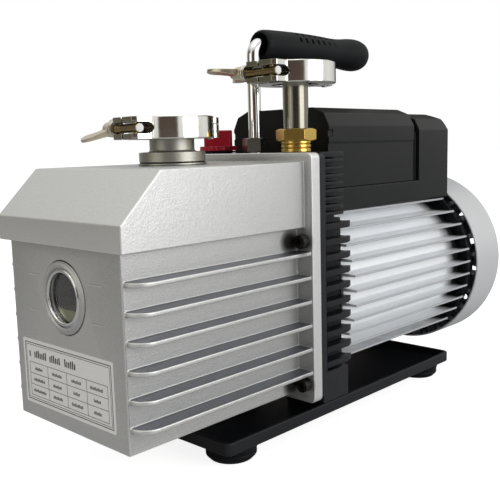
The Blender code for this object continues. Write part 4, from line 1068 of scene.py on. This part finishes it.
# %% Filler cap and seal
def filler():
    low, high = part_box("oil_fill_cap")
    seal_low, seal_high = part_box("oil_cap_seal")
    centre = Vector((middle("oil_fill_cap").x, LINE, seal_high.z + 0.3 * MM))
    here = Matrix.Translation(centre)
    outline = eased([(0, -14 * MM), (10.9 * MM, -14 * MM), (10.9 * MM, 0), (14.5 * MM, 0), (14.5 * MM, 3.6 * MM),
                     (0, 3.6 * MM)], 0.6 * MM, closed=False)
    cap = lathe("cap", outline, here, 96, closed=False)
    grooves = [rod("groove", (14.7 * MM, 0, -MM), (14.7 * MM, 0, 8 * MM), 0.55 * MM,
                   here @ Matrix.Rotation(math.tau * i / 36, 4, "Z"), 8) for i in range(36)]
    cap = cut(cap, *grooves)
    bar = block("bar", (-10.8 * MM, -3.6 * MM, 2 * MM), (10.8 * MM, 3.6 * MM, high.z - centre.z),
                here @ Matrix.Rotation(math.radians(36), 4, "Z"))
    cap = join(cap, broken(bar, 1.0 * MM, 3))
    finished(cap, "filler_cap", "red", "oil_fill_cap", "red_plastic", "oil_fill_cap")
    ring = eased([(11.4 * MM, seal_low.z), (13.8 * MM, seal_low.z), (13.8 * MM, seal_high.z),
                  (11.4 * MM, seal_high.z)], 0.5 * MM)
    finished(lathe("ring", ring, Matrix.Translation((centre.x, LINE, 0)), 64), "filler_seal", "rubber",
             "oil_cap_seal", "rubber", "oil_cap_seal")


filler()

# %% [markdown]
# ## Bracket, base and feet
#
# The bracket is a second casting under a semi-gloss black: ribs down its side, a lobe
# between each pair of motor fins. The base is a folded tray. Both are softened copies of
# their nodes, and the four feet are turned rubber with a ring groove.

# %% Bracket, tray and rubber feet
finished(softened("pump_bracket", 0.5 * MM, 2), "bracket_casting", "black_paint", "pump", "black_paint",
         "pump_bracket")
finished(softened("base_tray", 1.0 * MM), "tray", "black_paint", "pump", "black_paint", "base_tray")
for row in ("front", "rear"):
    for side in ("right", "left"):
        node = f"foot_{row}_{side}"
        low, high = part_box(node)
        radius, top_z = (high.x - low.x) / 2, high.z
        outline = eased([(0, 0.4 * MM), (6 * MM, 0.4 * MM), (6.6 * MM, 0), (radius - 3.5 * MM, 0),
                         (radius - 0.6 * MM, 3 * MM), (radius - 0.6 * MM, 5.2 * MM), (radius - 1.4 * MM, 5.8 * MM),
                         (radius - 0.6 * MM, 6.4 * MM), (radius, top_z - 2 * MM), (radius, top_z), (0, top_z)],
                        0.6 * MM, closed=False)
        pad = lathe(node, outline, Matrix.Translation((middle(node).x, middle(node).y, 0)), 64, closed=False)
        finished(pad, f"rubber_foot_{row}_{side}", "rubber", "pump", "rubber", node)


# %% Drain plug and washer under the tank
def drain():
    low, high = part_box("drain_plug")
    place = Vector((0, middle("drain_plug").y, 0))
    head = 8 * MM
    plug = nut_blank("plug", place + Vector((0, 0, low.z)), 17 * MM, head, 0)
    plug = join(plug, rod("thread", place + Vector((0, 0, low.z + head / 2)), place + Vector((0, 0, high.z)), 6 * MM))
    finished(plug, "drain_screw", "steel", "drain_plug", "fastener_steel", "drain_plug")
    low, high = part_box("drain_washer")
    ring = eased([(6.3 * MM, low.z), (10 * MM, low.z), (10 * MM, high.z), (6.3 * MM, high.z)], 0.3 * MM)
    finished(lathe("ring", ring, Matrix.Translation(place), 64), "drain_sealing_washer", "brass", "drain_washer",
             "brass", "drain_washer")


drain()


# %% [markdown]
# ## The motor
#
# The finned housing is an extrusion, so its softened node is exact. The end bell and the fan
# cover are spun and pressed, which a lathe copies. The cover's slots are cut in two rings,
# and lugs on the bell keep it clear of the cover, so light shows between them.

# %% Housing and end bell
finished(softened("motor_housing", 0.35 * MM, 2), "finned_housing", "motor", "pump", "motor_aluminium",
         "motor_housing")
MOTOR_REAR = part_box("motor_housing")[1].y
COVER_LOW, COVER_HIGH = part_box("fan_cover")
COVER_RADIUS = (COVER_HIGH.x - COVER_LOW.x) / 2


def end_bell():
    bell_low, bell_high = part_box("rear_bell")
    start = MOTOR_REAR + 0.3 * MM
    here = Matrix.Translation((0, start, AXIS.z)) @ ALONG_Y
    deep = bell_low.y - start
    reach = bell_high.y - start
    outline = eased([(18.3 * MM, deep), (55.7 * MM, deep), (55.7 * MM, 0), (72 * MM, 0), (72 * MM, 8.2 * MM),
                     (26 * MM, 8.2 * MM), (23.5 * MM, reach), (9.5 * MM, reach), (9.5 * MM, reach - 11 * MM),
                     (18.3 * MM, reach - 11 * MM)], 0.8 * MM)
    bell = lathe("bell", outline, here, 128)
    lugs = [block("lug", (71 * MM, -1.6 * MM, 0.4 * MM), (COVER_RADIUS - 2.0 * MM, 1.6 * MM, 8 * MM),
                  here @ Matrix.Rotation(math.tau * (i + 0.5) / 28, 4, "Z")) for i in range(28)]
    bell = join(bell, *lugs)
    return finished(bell, "end_bell", "black_paint", "pump", "black_paint", "rear_bell")


end_bell()


# %% Fan, cover and cover screws
def fan_cover():
    here = Matrix.Translation((0, COVER_LOW.y, AXIS.z)) @ ALONG_Y
    depth = COVER_HIGH.y - COVER_LOW.y
    wall = 1.6 * MM
    bend = 8 * MM
    arc = [math.radians(90) * i / 8 for i in range(9)]
    flank = COVER_RADIUS - bend
    outer = [(flank + bend * math.cos(a), depth - bend + bend * math.sin(a)) for a in arc]
    inner = [(flank + (bend - wall) * math.cos(a), depth - bend + (bend - wall) * math.sin(a)) for a in arc]
    lip = [(COVER_RADIUS - wall, 0), (COVER_RADIUS - 0.4 * MM, 0), (COVER_RADIUS, 0.5 * MM)]
    outline = [(0, depth - wall)] + inner[::-1] + lip + outer + [(0, depth)]
    cover = lathe("cover", outline, here, 144, closed=False)
    slots = []
    for row, (start, end, count) in enumerate(((18, 37, 8), (41, 62, 12))):
        for i in range(count):
            turn = here @ Matrix.Rotation(math.tau * (i + 0.5 * row) / count, 4, "Z")
            half = 2.5
            path = [(start + half * (1 - math.sin(math.radians(a))), half * math.cos(math.radians(a)))
                    for a in range(0, 181, 30)]
            path += [(end - half * (1 - math.sin(math.radians(a))), -half * math.cos(math.radians(a)))
                     for a in range(0, 181, 30)]
            slots.append(prism("slot", [(x * MM, y * MM) for x, y in path], depth - 6 * MM, depth + 4 * MM, turn))
    cover = cut(cover, *slots)
    finished(broken(cover, 0.3 * MM, angle=40), "fan_guard", "cover", "pump", "cover_paint", "fan_cover", smooth=25)
    screws = None
    for angle in (35, 145, -35, -145):
        turn = Matrix.Translation((0, COVER_LOW.y + 9 * MM, AXIS.z)) @ Matrix.Rotation(math.radians(-angle), 4, "Y")
        head = eased([(0, 0), (2.2 * MM, 0), (2.2 * MM, 3.0 * MM), (0, 3.0 * MM)], 0.9 * MM, closed=False)
        head = lathe("head", head, turn @ Matrix.Translation((COVER_RADIUS - 4.4 * MM, 0, 0)) @ ALONG_X, 32,
                     closed=False)
        head = cut(head, block("drive", (COVER_RADIUS - 2.2 * MM, -3 * MM, -0.35 * MM),
                               (COVER_RADIUS + 2 * MM, 3 * MM, 0.35 * MM), turn))
        screws = join(screws, head) if screws else head
    finished(screws, "cover_screws", "steel", "pump", "fastener_steel")


def fan():
    thing = softened("cooling_fan", 0.3 * MM, 2)
    return finished(thing, "fan_wheel", "box", "shaft", "black_moulding", "cooling_fan")


fan_cover()
fan()


# %% [markdown]
# ## The electrical box
#
# The box is moulded in two pieces with a dark gap before the rear cap. Its lid has a crease
# along the side where a panel is set back, and a small step at the front corner. The lid is
# drawn again from its cross-section, because the crease is too fine for the frame.

# %% Lid, case, switch and socket
def lid():
    low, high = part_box("box_lid")
    half = (high.x - low.x) / 2
    crease = high.z - 26 * MM
    side = [(half - 0.8 * MM, low.z), (half - 0.8 * MM, crease - 0.8 * MM), (half, crease), (half, high.z - 14 * MM),
            (half - 5 * MM, high.z - 4.5 * MM), (half - 16 * MM, high.z)]
    outline = side + [(-x, z) for x, z in side[::-1]]
    stand = Matrix.Rotation(math.radians(90), 4, "X")
    rear = high.y - 3.2 * MM                # leaves the dark groove before the rear cap
    top = prism("lid", outline, -rear, -low.y, stand)
    hollow = [(x * (half - 3 * MM) / half, z - (3 * MM if z > low.z else 4 * MM)) for x, z in outline]
    top = cut(top, prism("hollow", hollow, -high.y - MM, -low.y - 3 * MM, stand))
    for side in (1, -1):
        near, far = sorted((side * (half - 1.0 * MM), side * (half + 2 * MM)))
        step = block("step", (near, low.y - MM, crease + 4 * MM), (far, low.y + 5 * MM, crease + 9 * MM))
        top = cut(top, step)
    return finished(broken(top, 0.7 * MM, 3, 12), "box_cover", "box", "pump", "black_moulding", "box_lid")


lid()
CAP_LOW, CAP_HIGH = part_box("electrical_box")
case = softened("electrical_box", 0.7 * MM, 3, (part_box("box_lid")[1].y - MM, CAP_HIGH.z - 20 * MM))
finished(case, "box_case", "box", "pump", "black_moulding", "electrical_box")
finished(softened("power_inlet", 0.3 * MM, 2), "mains_socket", "box", "pump", "black_moulding", "power_inlet")
finished(softened("rocker_switch", 0.3 * MM, 2), "rocker", "red", "rocker_switch", "red_plastic", "rocker_switch")

# %% [markdown]
# ## What is inside
#
# The pump unit, the rotor and the windings never show, and they keep the frame's own shapes.
# They still get the finish that they have on a bench: ground steel, grey iron, brown
# varnished copper and phenolic vanes.

# %% Finishes of the inner pieces
INSIDE = {
    "winding": ["wound_stator"],
    "steel": ["motor_rotor", "front_bearing", "rear_bearing", "shaft_coupling", "pump_rotor",
              "exhaust_valve_cover"],
    "iron": ["pump_stator", "pump_end_cover"],
    "vane": ["vane_1", "vane_2"],
    "motor": ["capacitor"],
}
for finish, nodes in INSIDE.items():
    for node in nodes:
        mesh = frame["nodes"][node].data
        mesh.materials.clear()
        mesh.materials.append(FINISHES[finish].material)
